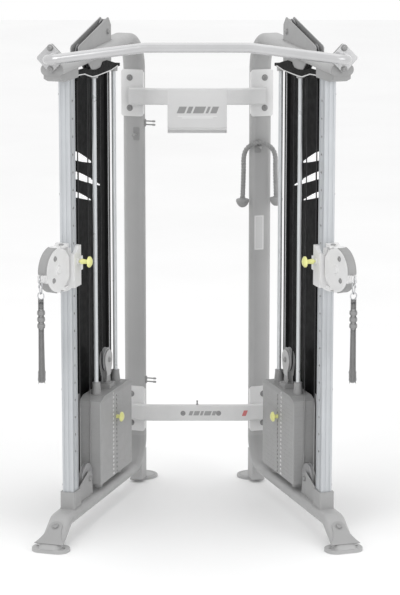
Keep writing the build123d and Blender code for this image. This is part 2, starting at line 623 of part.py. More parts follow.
# the cable leaves the front and rear top pulleys on their common upper tangent
span = sqrt((REAR_S - FRONT_TOP_S) ** 2 + (REAR_Z - FRONT_TOP_Z) ** 2)
lean = degrees(atan2(REAR_Z - FRONT_TOP_Z, REAR_S - FRONT_TOP_S))
tangent = lean + degrees(acos((FRONT_TOP_R - REAR_R) / span))


def on_circle(s, z, radius, angle):
    return s + radius * cos(radians(angle)), z + radius * sin(radians(angle))


with BuildPart() as cable_loop:
    with BuildLine(Plane.YZ) as cable_line:
        Line((STACK_S - 51, RUN_TOP), (STACK_S - 51, MIDDLE_Z + 0.01))
        ThreePointArc(
            (STACK_S - 51, MIDDLE_Z + 0.01), (MIDDLE_S, MIDDLE_Z + MIDDLE_R), (UP_RUN_S, MIDDLE_Z + 0.01)
        )
        Line((UP_RUN_S, MIDDLE_Z + 0.01), (UP_RUN_S, LOW_Z))
        ThreePointArc((UP_RUN_S, LOW_Z), (LOW_S, LOW_Z - LOW_RADIUS), (FRONT_RUN_S, LOW_Z))
        Line((FRONT_RUN_S, LOW_Z), (FRONT_RUN_S, FRONT_TOP_Z))
        ThreePointArc(
            (FRONT_RUN_S, FRONT_TOP_Z), on_circle(FRONT_TOP_S, FRONT_TOP_Z, FRONT_TOP_R, (180 + tangent) / 2),
            on_circle(FRONT_TOP_S, FRONT_TOP_Z, FRONT_TOP_R, tangent),
        )
        Line(
            on_circle(FRONT_TOP_S, FRONT_TOP_Z, FRONT_TOP_R, tangent),
            on_circle(REAR_S, REAR_Z, REAR_R, tangent),
        )
        ThreePointArc(
            on_circle(REAR_S, REAR_Z, REAR_R, tangent), on_circle(REAR_S, REAR_Z, REAR_R, tangent / 2),
            (REAR_S + REAR_R, REAR_Z),
        )
        Line((REAR_S + REAR_R, REAR_Z), (REAR_S + REAR_R, RUN_TOP))
    with BuildSketch(Plane((0, STACK_S - 51, RUN_TOP))):
        Circle(CABLE_RADIUS)
    sweep(path=cable_line.line)
write_shared(cable_loop.part, "cable_loops")

with BuildPart() as stack_runs:
    with BuildSketch(Plane((0, FLOAT_S, FLOAT_Z))):
        with Locations((0, -FLOAT_RADIUS), (0, FLOAT_RADIUS)):
            Circle(CABLE_RADIUS)
    extrude(amount=RUN_TOP - FLOAT_Z)
write_each(stack_runs.part, "cable_stack_runs")

# ---------------------------------------------------------------- pull-up bar
BAR_FLANGE_S = FLANGE_S - FLANGE_GAP
bar_start = in_row(0, BAR_FLANGE_S - FLANGE_THICK, BAR_Z)
bar_y = UPRIGHT_Y + BAR_Y
with BuildPart() as pull_up_bar:
    with BuildLine() as bar_line:
        FilletPolyline(
            bar_start, (-BAR_ELBOW_X, bar_y, BAR_Z), (-BAR_CROWN_X, bar_y, BAR_CROWN_Z),
            (BAR_CROWN_X, bar_y, BAR_CROWN_Z), (BAR_ELBOW_X, bar_y, BAR_Z),
            (-bar_start.X, bar_start.Y, BAR_Z), radius=[44, 300, 300, 44],
        )
    with BuildSketch(Plane(origin=bar_line.line @ 0, z_dir=bar_line.line % 0)):
        Circle(BAR_RADIUS)
        Circle(BAR_RADIUS - BAR_WALL, mode=Mode.SUBTRACT)
    sweep(path=bar_line.line)
with BuildPart() as bar_flange:
    with BuildSketch(Plane((0, BAR_FLANGE_S, BAR_Z), x_dir=(1, 0, 0), z_dir=(0, -1, 0))):
        RectangleRounded(FLANGE_SIDE, FLANGE_SIDE, 10, rotation=45)
    extrude(amount=FLANGE_THICK)
BAR_JOINT_X = 565
with BuildPart() as whole_bar:
    add(pull_up_bar.part)
    add(both_sides(bar_flange.part))
    # five lengths of tube, welded end to end
    for joint_x in (-BAR_JOINT_X, -BAR_CROWN_X, BAR_CROWN_X, BAR_JOINT_X):
        split(bisect_by=Plane.YZ.offset(joint_x), keep=Keep.BOTH)
write(whole_bar.part, "pull_up_bar")

# ---------------------------------------------------------------- crossbeams, their brackets and the sign
BRACKET_THICK = 4
BRACKET_FACE = COLUMN_S - TUBE_DEPTH / 2 - BRACKET_THICK
BEAM_LAP, BEAM_BEND, BEAM_WALL = 78, 150, 3
lap_s = BRACKET_FACE - BEAM_DEPTH / 2
lap_end = in_row(-8, lap_s, 0)
lap_bend = in_row(BEAM_LAP, lap_s, 0)
with BuildPart() as beam:
    with BuildLine() as beam_line:
        FilletPolyline(
            lap_end, lap_bend, (-lap_bend.X, lap_bend.Y, 0), (-lap_end.X, lap_end.Y, 0), radius=BEAM_BEND
        )
    with BuildSketch(Plane(origin=beam_line.line @ 0, x_dir=(0, 0, 1), z_dir=beam_line.line % 0)):
        RectangleRounded(BEAM_HEIGHT, BEAM_DEPTH, 8)
        RectangleRounded(BEAM_HEIGHT - 2 * BEAM_WALL, BEAM_DEPTH - 2 * BEAM_WALL, 5, mode=Mode.SUBTRACT)
    sweep(path=beam_line.line)
write(Compound([Pos(0, 0, beam_z) * beam.part.solid() for beam_z in BEAM_Z]), "crossbeams")
BEAM_FRONT_Y = in_row(BEAM_LAP, lap_s, 0).Y - BEAM_DEPTH / 2

BOLT_PITCH, BOLT_N = 137, -11.6
with BuildPart() as brackets:
    for beam_z in BEAM_Z:
        with BuildSketch(Plane((0, BRACKET_FACE, beam_z + BRACKET_RISE), x_dir=(1, 0, 0), z_dir=(0, -1, 0))):
            RectangleRounded(BRACKET_WIDTH, BRACKET_HEIGHT, 12)
        extrude(amount=-BRACKET_THICK)
        with BuildSketch(Plane.XY.offset(beam_z + BRACKET_RISE - BRACKET_HEIGHT / 2 + 12)):
            for side in (-1, 1):
                with Locations((side * (BRACKET_WIDTH / 2 - 1), BRACKET_FACE + 10)):
                    Rectangle(2, 16)
        extrude(amount=BRACKET_HEIGHT - 24)
write_shared(brackets.part, "beam_brackets")

SIGN_HALF, SIGN_LOW, SIGN_TOP, SIGN_THICK = 133, 1650, 1848, 3
with BuildPart() as sign:
    with BuildSketch(Plane((0, BEAM_FRONT_Y, (SIGN_LOW + SIGN_TOP) / 2), x_dir=(1, 0, 0), z_dir=(0, -1, 0))):
        RectangleRounded(2 * SIGN_HALF, SIGN_TOP - SIGN_LOW, 4)
    extrude(amount=SIGN_THICK)
    # a small tray along the lower edge
    with BuildSketch(Plane((0, BEAM_FRONT_Y - SIGN_THICK, SIGN_LOW + 9), x_dir=(1, 0, 0), z_dir=(0, -1, 0))):
        Rectangle(2 * SIGN_HALF, 18)
        Rectangle(2 * SIGN_HALF - 4, 13, mode=Mode.SUBTRACT)
    extrude(amount=12)
write(sign.part, "sign_panel")

# ---------------------------------------------------------------- pressdown rope on the right column
ROPE_X, ROPE_Y, ROPE_HALF, ROPE_RADIUS = 281, UPRIGHT_Y + 770, 73, 11
ROPE_CENTRE_Z, ROPE_TURNS = 1527, 5
turn_step = 180 / ROPE_TURNS
corner_reach = ROPE_HALF / cos(radians(turn_step / 2))
rope_corners = [
    on_circle(ROPE_X, ROPE_CENTRE_Z, corner_reach, 180 - turn_step * (turn + 0.5))
    for turn in range(ROPE_TURNS)
]
rope_route = [
    (ROPE_X - ROPE_HALF - 3, 1345), (ROPE_X - ROPE_HALF + 2, 1466), *rope_corners,
    (ROPE_X + ROPE_HALF - 2, 1470), (ROPE_X + ROPE_HALF + 3, 1352),
]


def arc_radii(route):
    """For each inner corner, 0.45 of its shorter run over the tangent of half its turn."""
    points = [Vector(*point) for point in route]
    radii = []
    for before, here, after in zip(points, points[1:], points[2:]):
        run_in, run_out = here - before, after - here
        half_turn = radians(run_in.get_angle(run_out) / 2)
        radii.append(0.45 * min(run_in.length, run_out.length) * cos(half_turn) / sin(half_turn))
    return radii


rope_radii = arc_radii(rope_route)
print("rope arc radii", [round(radius) for radius in rope_radii])
with BuildPart() as rope:
    with BuildLine(Plane.XZ.offset(-ROPE_Y)) as rope_line:
        FilletPolyline(*rope_route, radius=rope_radii)
    with BuildSketch(Plane(origin=rope_line.line @ 0, z_dir=rope_line.line % 0)):
        Circle(ROPE_RADIUS)
    sweep(path=rope_line.line)
rope_length = sum(edge.length for edge in rope_line.line.edges())
print("rope length", round(rope_length), "mm, its volume over section times length",
      round(rope.part.volume / (rope_length * pi * ROPE_RADIUS**2), 4))
write(rope.part, "pressdown_rope")

END_RADIUS, END_HEIGHT = 30, 42
with BuildPart() as rope_ends:
    for end_x, end_z in (rope_route[0], rope_route[-1]):
        with BuildSketch(Plane((end_x, ROPE_Y, end_z), x_dir=(1, 0, 0), z_dir=(0, -1, 0))):
            with BuildLine():
                Polyline(
                    (0, 0), (END_RADIUS - 3, 0), (END_RADIUS, -5), (END_RADIUS - 2, -16), (18, -36),
                    (12, -END_HEIGHT), (0, -END_HEIGHT), close=True,
                )
            make_face()
        revolve(axis=Axis((end_x, ROPE_Y, end_z), (0, 0, 1)))
write(rope_ends.part, "rope_ends")

# ---------------------------------------------------------------- bolts, axles and accessory hooks
HEAD_RADIUS, HEAD_HEIGHT = 10, 7
with BuildPart() as tower_hardware:
    # bolts of the crossbeam brackets
    with BuildSketch(Plane((0, BRACKET_FACE, 0), x_dir=(1, 0, 0), z_dir=(0, -1, 0))):
        for beam_z in BEAM_Z:
            for side in (-1, 1):
                with Locations((BOLT_N, beam_z + BRACKET_RISE + side * BOLT_PITCH / 2)):
                    Circle(HEAD_RADIUS)
    extrude(amount=HEAD_HEIGHT)
    # axles between the gusset plates, and through the low pulley's fork
    with BuildSketch(across(0)):
        for name in ("front_top", "middle_top", "rear_top", "low"):
            with Locations(PULLEYS[name][:2]):
                Circle(AXLE_RADIUS)
    extrude(amount=PLATE_GAP / 2, both=True)
    # the flange bolts at the diamond's upper and lower corners
    with BuildSketch(Plane((0, BAR_FLANGE_S - FLANGE_THICK, BAR_Z), x_dir=(1, 0, 0), z_dir=(0, -1, 0))):
        with Locations((0, 44), (0, -44)):
            Circle(HEAD_RADIUS)
    extrude(amount=HEAD_HEIGHT)
    # spacers between the two flanges
    with BuildSketch(Plane((0, FLANGE_S, BAR_Z), x_dir=(1, 0, 0), z_dir=(0, -1, 0))):
        with Locations((0, 44), (0, -44)):
            Circle(HEAD_RADIUS)
    extrude(amount=FLANGE_GAP)
    # the bolt under the saddle, in front of the upright
    with BuildSketch(Plane((0, -60, UPRIGHT_HEAD))):
        Circle(HEAD_RADIUS)
    extrude(amount=-HEAD_HEIGHT)
    # the bolt through the front foot's cover
    cover_face = Plane(origin=cover_origin + leg_normal * COVER_THICK, x_dir=(1, 0, 0), z_dir=leg_normal)
    with BuildSketch(cover_face):
        with Locations((0, COVER_TOP)):
            Circle(12)
    extrude(amount=HEAD_HEIGHT)
    # the socket's side bolt
    with BuildSketch(Plane.YZ.offset(-33)):
        with Locations((0, 178)):
            Circle(9)
    extrude(amount=-HEAD_HEIGHT)
write_shared(tower_hardware.part, "hardware")

PRONG_RADIUS, PRONG_REACH, PRONG_GAP = 3, 46, 16
HOOK_HEIGHTS = (494, 1686)
with BuildPart() as column_hooks:
    for hook_z in HOOK_HEIGHTS:
        with BuildSketch(across(TUBE_WIDTH / 2)):
            with Locations((COLUMN_S, hook_z)):
                RectangleRounded(14, 34, 4)
        extrude(amount=4)
        with BuildSketch(across(TUBE_WIDTH / 2 + 4)):
            with Locations((COLUMN_S, hook_z - PRONG_GAP / 2), (COLUMN_S, hook_z + PRONG_GAP / 2)):
                Circle(PRONG_RADIUS)
        extrude(amount=PRONG_REACH - 4)
# the rope's peg stands out of the right column's face towards the front
PEG_RADIUS, PEG_N, PEG_GAP, LEFT_PEG_RISE = 5, 18.7, 3, 57
peg_z = ROPE_CENTRE_Z + ROPE_HALF - ROPE_RADIUS - PEG_RADIUS - PEG_GAP
with BuildPart() as column_peg:
    with BuildSketch(Plane((PEG_N, COLUMN_S - TUBE_DEPTH / 2, peg_z), x_dir=(1, 0, 0), z_dir=(0, -1, 0))):
        RectangleRounded(30, 60, 6)
    extrude(amount=3)
    with BuildSketch(Plane((PEG_N, COLUMN_S - TUBE_DEPTH / 2 - 3, peg_z), x_dir=(1, 0, 0), z_dir=(0, -1, 0))):
        Circle(PEG_RADIUS)
    extrude(amount=48)
left_peg, right_peg = both_sides(column_peg.part)
left_peg = Pos(0, 0, LEFT_PEG_RISE) * left_peg
left_hooks, right_hooks = both_sides(column_hooks.part)
write(Compound(left_hooks.solids() + left_peg.solids() + right_peg.solids()), "accessory_hooks")
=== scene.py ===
"""The cable crossover machine's finish and small pieces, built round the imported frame."""

import math
import random

import bmesh
import bpy
from mathutils import Matrix, Vector


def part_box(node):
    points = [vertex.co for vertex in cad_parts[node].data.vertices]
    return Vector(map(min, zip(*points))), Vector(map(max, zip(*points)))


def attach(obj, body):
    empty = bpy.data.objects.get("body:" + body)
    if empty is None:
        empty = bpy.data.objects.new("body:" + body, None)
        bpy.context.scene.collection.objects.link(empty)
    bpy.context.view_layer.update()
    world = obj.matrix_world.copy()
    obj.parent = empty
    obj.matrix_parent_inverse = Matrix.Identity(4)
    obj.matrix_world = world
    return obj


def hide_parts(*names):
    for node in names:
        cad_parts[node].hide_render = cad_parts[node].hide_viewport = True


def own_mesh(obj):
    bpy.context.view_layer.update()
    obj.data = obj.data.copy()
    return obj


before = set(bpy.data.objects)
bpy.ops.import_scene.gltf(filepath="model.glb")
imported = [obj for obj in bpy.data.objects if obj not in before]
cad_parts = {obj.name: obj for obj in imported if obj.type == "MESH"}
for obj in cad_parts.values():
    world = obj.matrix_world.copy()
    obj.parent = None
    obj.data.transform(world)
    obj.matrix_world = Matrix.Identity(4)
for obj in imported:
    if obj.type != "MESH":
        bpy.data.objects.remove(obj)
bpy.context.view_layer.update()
random.seed(7)

# ---- the towers' own axes
# n runs inwards, s rearwards and z up, in metres; side is -1 for the left tower and 1 for the right
SPLAY = math.radians(17.9)
SIN, COS = math.sin(SPLAY), math.cos(SPLAY)
HALF_SPAN, UPRIGHT_Y = 0.548, -0.34535
SIDES = {"left": -1, "right": 1}


def tower(side):
    """The matrix from (n, s, z) to the row frame; it mirrors on the right."""
    m = Matrix(((COS, SIN, 0, -HALF_SPAN), (-SIN, COS, 0, UPRIGHT_Y), (0, 0, 1, 0), (0, 0, 0, 1)))
    return m if side < 0 else Matrix.Diagonal((-1, 1, 1, 1)) @ m


SWIVEL_S, SWIVEL_Z = -0.085, 1.2
SWIVEL_TURN = math.radians(12.1)


def swivel(side):
    """From the swivel's frame, X outwards along the pulley's plane, to the row frame."""
    c, s = math.cos(SWIVEL_TURN), math.sin(SWIVEL_TURN)
    m = Matrix(((-s, c, 0, 0), (-c, -s, 0, SWIVEL_S), (0, 0, 1, SWIVEL_Z), (0, 0, 0, 1)))
    return tower(side) @ m


HANG_X, HANG_Z = 0.160, -0.022
GRIP_TURN = math.radians(-33)


def handle(side):
    """From the handle's frame, X across the webbing and Y along the grip, to the row frame."""
    c, s = math.cos(GRIP_TURN), math.sin(GRIP_TURN)
    m = Matrix(((s, -c, 0, HANG_X), (c, s, 0, 0), (0, 0, 1, HANG_Z), (0, 0, 0, 1)))
    return swivel(side) @ m


# ---- materials
def grey(level):
    """Linear value of an sRGB level from 0 to 255."""
    v = level / 255
    return ((v + 0.055) / 1.055) ** 2.4 if v > 0.04 else v / 12.92


def tint(red, green, blue):
    return (grey(red), grey(green), grey(blue), 1)


def shade(colour, factor):
    return tuple(min(1, c * factor) for c in colour[:3]) + (1,)


WHITE = (1, 1, 1, 1)


class Nodes:
    """A short way to build one material's nodes."""

    def __init__(self, name):
        self.mat = bpy.data.materials.new(name)
        self.mat.use_nodes = True
        self.tree = self.mat.node_tree
        self.shader = self.tree.nodes["Principled BSDF"]
        self.coords = self.tree.nodes.new("ShaderNodeTexCoord").outputs["Object"]

    def node(self, kind, values=None, links=None, **settings):
        made = self.tree.nodes.new(kind)
        for key, value in settings.items():
            setattr(made, key, value)
        for key, value in (values or {}).items():
            made.inputs[key].default_value = value
        for key, source in (links or {}).items():
            self.tree.links.new(source, made.inputs[key])
        return made

    def link(self, source, socket):
        self.tree.links.new(source, self.shader.inputs[socket])

    def stretch(self, scale):
        return self.node("ShaderNodeMapping", {"Scale": scale}, {"Vector": self.coords}).outputs[0]

    def noise(self, scale, detail=4, rough=0.55, vector=None):
        return self.node(
            "ShaderNodeTexNoise", {"Scale": scale, "Detail": detail, "Roughness": rough},
            {"Vector": vector or self.coords},
        ).outputs["Fac"]

    def ramp(self, source, low, high, first, last):
        made = self.node("ShaderNodeValToRGB", links={"Fac": source})
        made.color_ramp.elements[0].position = low
        made.color_ramp.elements[1].position = high
        made.color_ramp.elements[0].color = first
        made.color_ramp.elements[1].color = last
        return made.outputs["Color"]

    def span(self, source, low, high, to_low, to_high):
        return self.node(
            "ShaderNodeMapRange",
            {"From Min": low, "From Max": high, "To Min": to_low, "To Max": to_high},
            {"Value": source},
        ).outputs["Result"]

    def mix(self, factor, first, second, blend="MIX"):
        made = self.node("ShaderNodeMixRGB", blend_type=blend)
        for socket, value in zip(("Fac", "Color1", "Color2"), (factor, first, second)):
            if isinstance(value, (int, float, tuple)):
                made.inputs[socket].default_value = value
            else:
                self.tree.links.new(value, made.inputs[socket])
        return made.outputs[0]

    def math(self, operation, first, second):
        made = self.node("ShaderNodeMath", operation=operation)
        for index, value in enumerate((first, second)):
            if isinstance(value, (int, float)):
                made.inputs[index].default_value = value
            else:
                self.tree.links.new(value, made.inputs[index])
        return made.outputs[0]

    def bump(self, height, strength, distance=0.001):
        made = self.node(
            "ShaderNodeBump", {"Strength": strength, "Distance": distance}, {"Height": height}
        )
        self.link(made.outputs["Normal"], "Normal")

    def edge(self, low=0.52, high=0.62):
        """1 on worn outer edges."""
        worn = self.node("ShaderNodeNewGeometry").outputs["Pointiness"]
        return self.span(worn, low, high, 0, 1)

    def dimmed(self, colour, noise, darkest, low=0.3, high=0.7):
        """The colour, dulled where the noise is low."""
        return self.mix(1.0, colour, self.ramp(noise, low, high, shade(WHITE, darkest), WHITE), "MULTIPLY")

    def roughness(self, noise, smoothest, roughest):
        self.link(self.span(noise, 0.3, 0.7, smoothest, roughest), "Roughness")


def painted(name, colour, rough=0.42, peel=700, depth=0.15, vary=0.06, metallic=0.0, coat=0.0, worn=0.25,
            shine=0.5):
    """Powder coat or enamel: orange peel, slow patches of tone, and rubbed edges."""
    m = Nodes(name)
    patches = m.ramp(m.noise(5, 5), 0.3, 0.7, shade(colour, 1 - vary), shade(colour, 1 + vary))
    toned = m.dimmed(patches, m.noise(peel * 2, 1), 0.94, 0.35, 0.65)
    edge = m.math("MULTIPLY", m.edge(), worn)
    m.link(m.mix(edge, toned, shade(colour, 1.35)), "Base Color")
    m.roughness(m.noise(30, 6), rough - 0.06, rough + 0.08)
    m.shader.inputs["Metallic"].default_value = metallic
    m.shader.inputs["Coat Weight"].default_value = coat
    m.shader.inputs["Specular IOR Level"].default_value = shine
    m.shader.inputs["Coat Roughness"].default_value = 0.2
    m.bump(m.noise(peel, 2), depth, 0.0006)
    return m.mat


def brushed(name, colour, rough=0.3, along=(900, 900, 6), depth=0.12, metallic=1.0, vary=0.07):
    """Metal with fine lines along one axis, such as drawn, ground or turned stock."""
    m = Nodes(name)
    lines = m.noise(1, 3, 0.6, m.stretch(along))
    toned = m.ramp(lines, 0.3, 0.7, shade(colour, 1 - vary), shade(colour, 1 + vary))
    m.link(m.dimmed(toned, m.noise(9, 5), 0.93, 0.35, 0.75), "Base Color")
    m.roughness(m.noise(14, 5), rough - 0.06, rough + 0.1)
    m.shader.inputs["Metallic"].default_value = metallic
    m.bump(lines, depth, 0.0004)
    return m.mat


def moulded(name, colour, rough=0.5, grain=1400, depth=0.25, vary=0.05, sheen=0.0, shine=0.5):
    """Moulded plastic or rubber: a fine pebble, with paler outer edges."""
    m = Nodes(name)
    toned = m.ramp(m.noise(12, 5), 0.3, 0.7, shade(colour, 1 - vary), shade(colour, 1 + vary))
    m.link(m.mix(m.math("MULTIPLY", m.edge(), 0.3), toned, shade(colour, 1.4)), "Base Color")
    m.roughness(m.noise(60, 4), rough - 0.07, rough + 0.1)
    m.shader.inputs["Sheen Weight"].default_value = sheen
    m.shader.inputs["Specular IOR Level"].default_value = shine
    pebble = m.node("ShaderNodeTexVoronoi", {"Scale": grain}, {"Vector": m.coords}).outputs["Distance"]
    m.bump(pebble, depth, 0.0004)
    return m.mat


def woven(name, colour, pitch=1500):
    """Webbing: a crossed weave that doesn't need UVs, with fuzz and worn tone."""
    m = Nodes(name)
    waves = []
    for turn in (0.6, -0.6):
        turned = m.node("ShaderNodeMapping", {"Rotation": (0, turn, 0.4)}, {"Vector": m.coords}).outputs[0]
        waves.append(
            m.node(
                "ShaderNodeTexWave", {"Scale": pitch / 6.28, "Distortion": 0.6, "Detail": 1},
                {"Vector": turned}, bands_direction="Z",
            ).outputs["Fac"]
        )
    weave = m.math("MULTIPLY", waves[0], waves[1])
    toned = m.ramp(weave, 0.05, 0.7, shade(colour, 0.78), shade(colour, 1.12))
    m.link(m.dimmed(toned, m.noise(25, 5), 0.9, 0.35, 0.7), "Base Color")
    m.shader.inputs["Roughness"].default_value = 0.85
    m.shader.inputs["Sheen Weight"].default_value = 0.3
    m.bump(weave, 0.5, 0.0006)
    return m.mat


def stranded(name, colour, lines, lean=0.5, rough=0.6, depth=0.5):
    """Cable or rope fibre: fine slanted strands and a little fuzz."""
    m = Nodes(name)
    turned = m.node("ShaderNodeMapping", {"Rotation": (lean, lean, 0)}, {"Vector": m.coords}).outputs[0]
    strand = m.node(
        "ShaderNodeTexWave", {"Scale": lines, "Distortion": 1.2, "Detail": 2, "Detail Scale": 2},
        {"Vector": turned}, bands_direction="Z",
    ).outputs["Fac"]
    toned = m.ramp(strand, 0.1, 0.8, shade(colour, 0.8), shade(colour, 1.15))
    m.link(m.dimmed(toned, m.noise(40, 6), 0.88), "Base Color")
    m.roughness(m.noise(200, 3), rough - 0.05, rough + 0.12)
    m.bump(strand, depth, 0.0005)
    return m.mat


def jacketed(name, upper, lower, low, high):
    """The cable's nylon jacket: rubbed pale below the height low, fading out up to the height high."""
    m = Nodes(name)
    height = m.node("ShaderNodeSeparateXYZ", links={"Vector": m.coords}).outputs["Z"]
    rubbed = m.math("ADD", height, m.span(m.noise(30, 4), 0.3, 0.7, -0.02, 0.02))
    toned = m.ramp(m.span(rubbed, low, high, 0, 1), 0, 1, lower, upper)
    m.link(m.dimmed(toned, m.noise(120, 4), 0.9), "Base Color")
    m.roughness(m.noise(90, 4), 0.35, 0.5)
    m.bump(m.noise(900, 2), 0.2, 0.0003)
    return m.mat


FRAME = painted("frame_paint", tint(169, 169, 169), rough=0.45)
FRAME_DARK = painted("frame_paint_dark", tint(154, 154, 154), rough=0.5)
CAST = painted("cast_paint", tint(222, 222, 222), rough=0.5, peel=420, depth=0.35)
CAST_DARK = painted("cast_paint_dark", tint(186, 186, 186), rough=0.5, peel=420, depth=0.35)
BAR = painted(
    "bar_paint", tint(192, 192, 193), rough=0.17, peel=250, depth=0.02, metallic=0.5, coat=1.0, worn=0.05,
)
SIGN = painted("sign_face", tint(226, 226, 226), rough=0.4, vary=0.02, worn=0.1)
EXTRUSION = brushed("extrusion", tint(196, 199, 202), rough=0.42, metallic=0.35)
ROD = brushed(
    "rod_steel", tint(222, 225, 227), rough=0.32, along=(160, 160, 2), metallic=0.25, depth=0.03, vary=0.03,
)
BRIGHT = brushed("bright_steel", tint(205, 206, 208), rough=0.22, along=(300, 300, 300), metallic=0.8)
BOLT = painted("bolt_steel", tint(150, 150, 150), rough=0.4, metallic=0.3, worn=0.5)
PANEL = painted(
    "black_panel", tint(5, 5, 6), rough=0.55, peel=900, depth=0.2, vary=0.25, worn=0.02, shine=0.12,
)
CAP = moulded("cap_plastic", tint(5, 5, 5), rough=0.6, shine=0.15)
PLATE = painted("plate_iron", tint(156, 156, 156), rough=0.5, peel=260, depth=0.5, vary=0.05, worn=0.35)
NYLON = moulded("pulley_nylon", tint(150, 150, 151), rough=0.4, depth=0.12)
CABLE = stranded("cable_skin", tint(30, 30, 32), 900, rough=0.4)
CABLE_PALE = stranded("cable_skin_pale", tint(188, 190, 192), 900, rough=0.4)
CABLE_LOOP = jacketed("cable_loop_skin", tint(30, 30, 32), tint(150, 150, 150), 0.53, 0.60)
RUBBER = moulded("rubber_grey", tint(160, 160, 160), rough=0.7)
DOME = moulded("rubber_dome", tint(160, 160, 160), rough=0.6, vary=0.1)
YELLOW = moulded("yellow_knob", tint(226, 226, 150), rough=0.3, depth=0.08)
WEBBING = woven("webbing", tint(138, 138, 138))
THREAD = stranded("thread", tint(160, 160, 160), 2500, rough=0.8)
FOAM = moulded("grip_foam", tint(138, 138, 138), rough=0.8, grain=900, depth=0.5, sheen=0.2)
FIBRE = stranded("rope_fibre", tint(176, 176, 176), 420, rough=0.85, depth=0.9)
MARK = painted("mark_white", tint(248, 248, 248), rough=0.5, vary=0.02, worn=0)
GLOWING_FILM = painted("mark_film_glowing", tint(250, 250, 250), rough=0.5, vary=0.02, worn=0)
# the film glows faintly: painted light, so the stripes stay white where the shroud is in shade
GLOWING_FILM.node_tree.nodes["Principled BSDF"].inputs["Emission Color"].default_value = WHITE
GLOWING_FILM.node_tree.nodes["Principled BSDF"].inputs["Emission Strength"].default_value = 0.4
LABEL = painted("label_face", tint(214, 214, 214), rough=0.35, vary=0.02, worn=0)
RED = painted("mark_red", tint(206, 120, 120), rough=0.5, vary=0.03, worn=0)

finishes = {
    "front_feet": FRAME, "foot_covers": FRAME_DARK, "rear_feet": FRAME, "uprights": EXTRUSION,
    "upright_sockets": FRAME_DARK, "top_saddles": FRAME_DARK, "gusset_plates": FRAME_DARK, "cap_plates": CAP,
    "guide_rods": ROD, "stack_bumpers": RUBBER, "shrouds": PANEL, "cable_loops": CABLE_LOOP, "hardware": BOLT,
    "accessory_hooks": FRAME_DARK, "pull_up_bar": BAR, "crossbeams": CAST, "beam_brackets": CAST,
    "sign_panel": SIGN, "base_rail": FRAME, "column": FRAME, "top_arm": FRAME, "resting_plates": PLATE,
    "lifted_plates": PLATE, "stack_head": PLATE, "selector_pin": YELLOW, "carriage": CAST,
    "pop_pin": YELLOW, "swivel_housing": CAST, "pulley": NYLON, "snap_hook": BRIGHT,
    "cable_stack_runs": CABLE, "handle_strap": WEBBING, "handle_grip": FOAM, "pressdown_rope": FIBRE,
    "rope_ends": DOME,
}
for node_name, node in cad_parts.items():
    finish = next(f for stem, f in finishes.items() if node_name.startswith(stem))
    node.data.materials.clear()
    node.data.materials.append(finish)

# ---- mesh tools
def new_piece(name, mesh, material, body, slot, bevel=0.0, smooth=35):
    """An object from a mesh in the row frame, riding on a body."""
    piece = bpy.data.objects.new(name, mesh)
    bpy.context.scene.collection.objects.link(piece)
    mesh.materials.append(material)
    mesh.shade_smooth()
    mesh.set_sharp_from_angle(angle=math.radians(smooth))
    if bevel:
        made = piece.modifiers.new("bevel", "BEVEL")
        made.width = bevel
        made.segments = 2
        made.limit_method = "ANGLE"
        made.angle_limit = math.radians(40)
    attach(piece, body)
    return piece


def to_mesh(name, bm, matrix):
    """The bmesh as a mesh in the row frame, its faces outwards even where the matrix mirrors."""
    bm.transform(matrix)
    bmesh.ops.recalc_face_normals(bm, faces=bm.faces)
    mesh = bpy.data.meshes.new(name)
    bm.to_mesh(mesh)
    bm.free()
    return mesh


def bridge(bm, rings, closed=False):
    """Quads between each ring of points and the next, which has as many."""
    for a, b in zip(rings, rings[1:] + (rings[:1] if closed else [])):
        for k in range(len(a)):
            j = (k + 1) % len(a)
            bm.faces.new((a[k], a[j], b[j], b[k]))


def prism(bm, outline, axes, start, end, origin=(0, 0, 0)):
    """A closed outline of (u, v) points pushed along w from start to end; axes are the u, v, w vectors."""
    u, v, w = (Vector(a) for a in axes)
    origin = Vector(origin)
    rings = [[bm.verts.new(origin + u * p + v * q + w * h) for p, q in outline] for h in (start, end)]
    bm.faces.new(rings[0])
    bm.faces.new(list(reversed(rings[1])))
    count = len(outline)
    for i in range(count):
        j = (i + 1) % count
        bm.faces.new((rings[0][j], rings[0][i], rings[1][i], rings[1][j]))


def lathe(bm, profile, centre, axis, steps=32, open_ends=False):
    """Turns (radius, height) points about an axis through centre."""
    axis = Vector(axis).normalized()
    side_a = axis.orthogonal().normalized()
    side_b = axis.cross(side_a)
    centre = Vector(centre)
    rings = []
    for radius, height in profile:
        if radius < 1e-7:
            rings.append([bm.verts.new(centre + axis * height)])
            continue
        rings.append([
            bm.verts.new(centre + axis * height + (side_a * math.cos(t) + side_b * math.sin(t)) * radius)
            for t in (2 * math.pi * k / steps for k in range(steps))
        ])
    pairs = list(zip(rings, rings[1:]))
    if open_ends:
        pairs.append((rings[-1], rings[0]))
    for a, b in pairs:
        for k in range(steps):
            j = (k + 1) % steps
            if len(a) == 1 and len(b) == 1:
                continue
            if len(a) == 1:
                bm.faces.new((a[0], b[k], b[j]))
            elif len(b) == 1:
                bm.faces.new((a[k], b[0], a[j]))
            else:
                bm.faces.new((a[k], b[k], b[j], a[j]))


def sweep(bm, points, section, up=None):
    """Carries a section of (u, v) points along a path, without twist; section may be a function of 0 to 1."""
    points = [Vector(p) for p in points]
    count = len(points)
    tangents = [
        (points[min(count - 1, i + 1)] - points[max(0, i - 1)]).normalized() for i in range(count)
    ]
    normal = Vector(up) if up else tangents[0].orthogonal()
    rings = []
    for i, (point, tangent) in enumerate(zip(points, tangents)):
        normal = (normal - tangent * normal.dot(tangent)).normalized()
        across = tangent.cross(normal)
        shape = section(i / max(1, count - 1)) if callable(section) else section
        rings.append([bm.verts.new(point + normal * u + across * v) for u, v in shape])
    bridge(bm, rings)
    bm.faces.new(list(reversed(rings[0])))
    bm.faces.new(rings[-1])


def circle(radius, steps=12):
    return [
        (radius * math.cos(2 * math.pi * k / steps), radius * math.sin(2 * math.pi * k / steps))
        for k in range(steps)
    ]


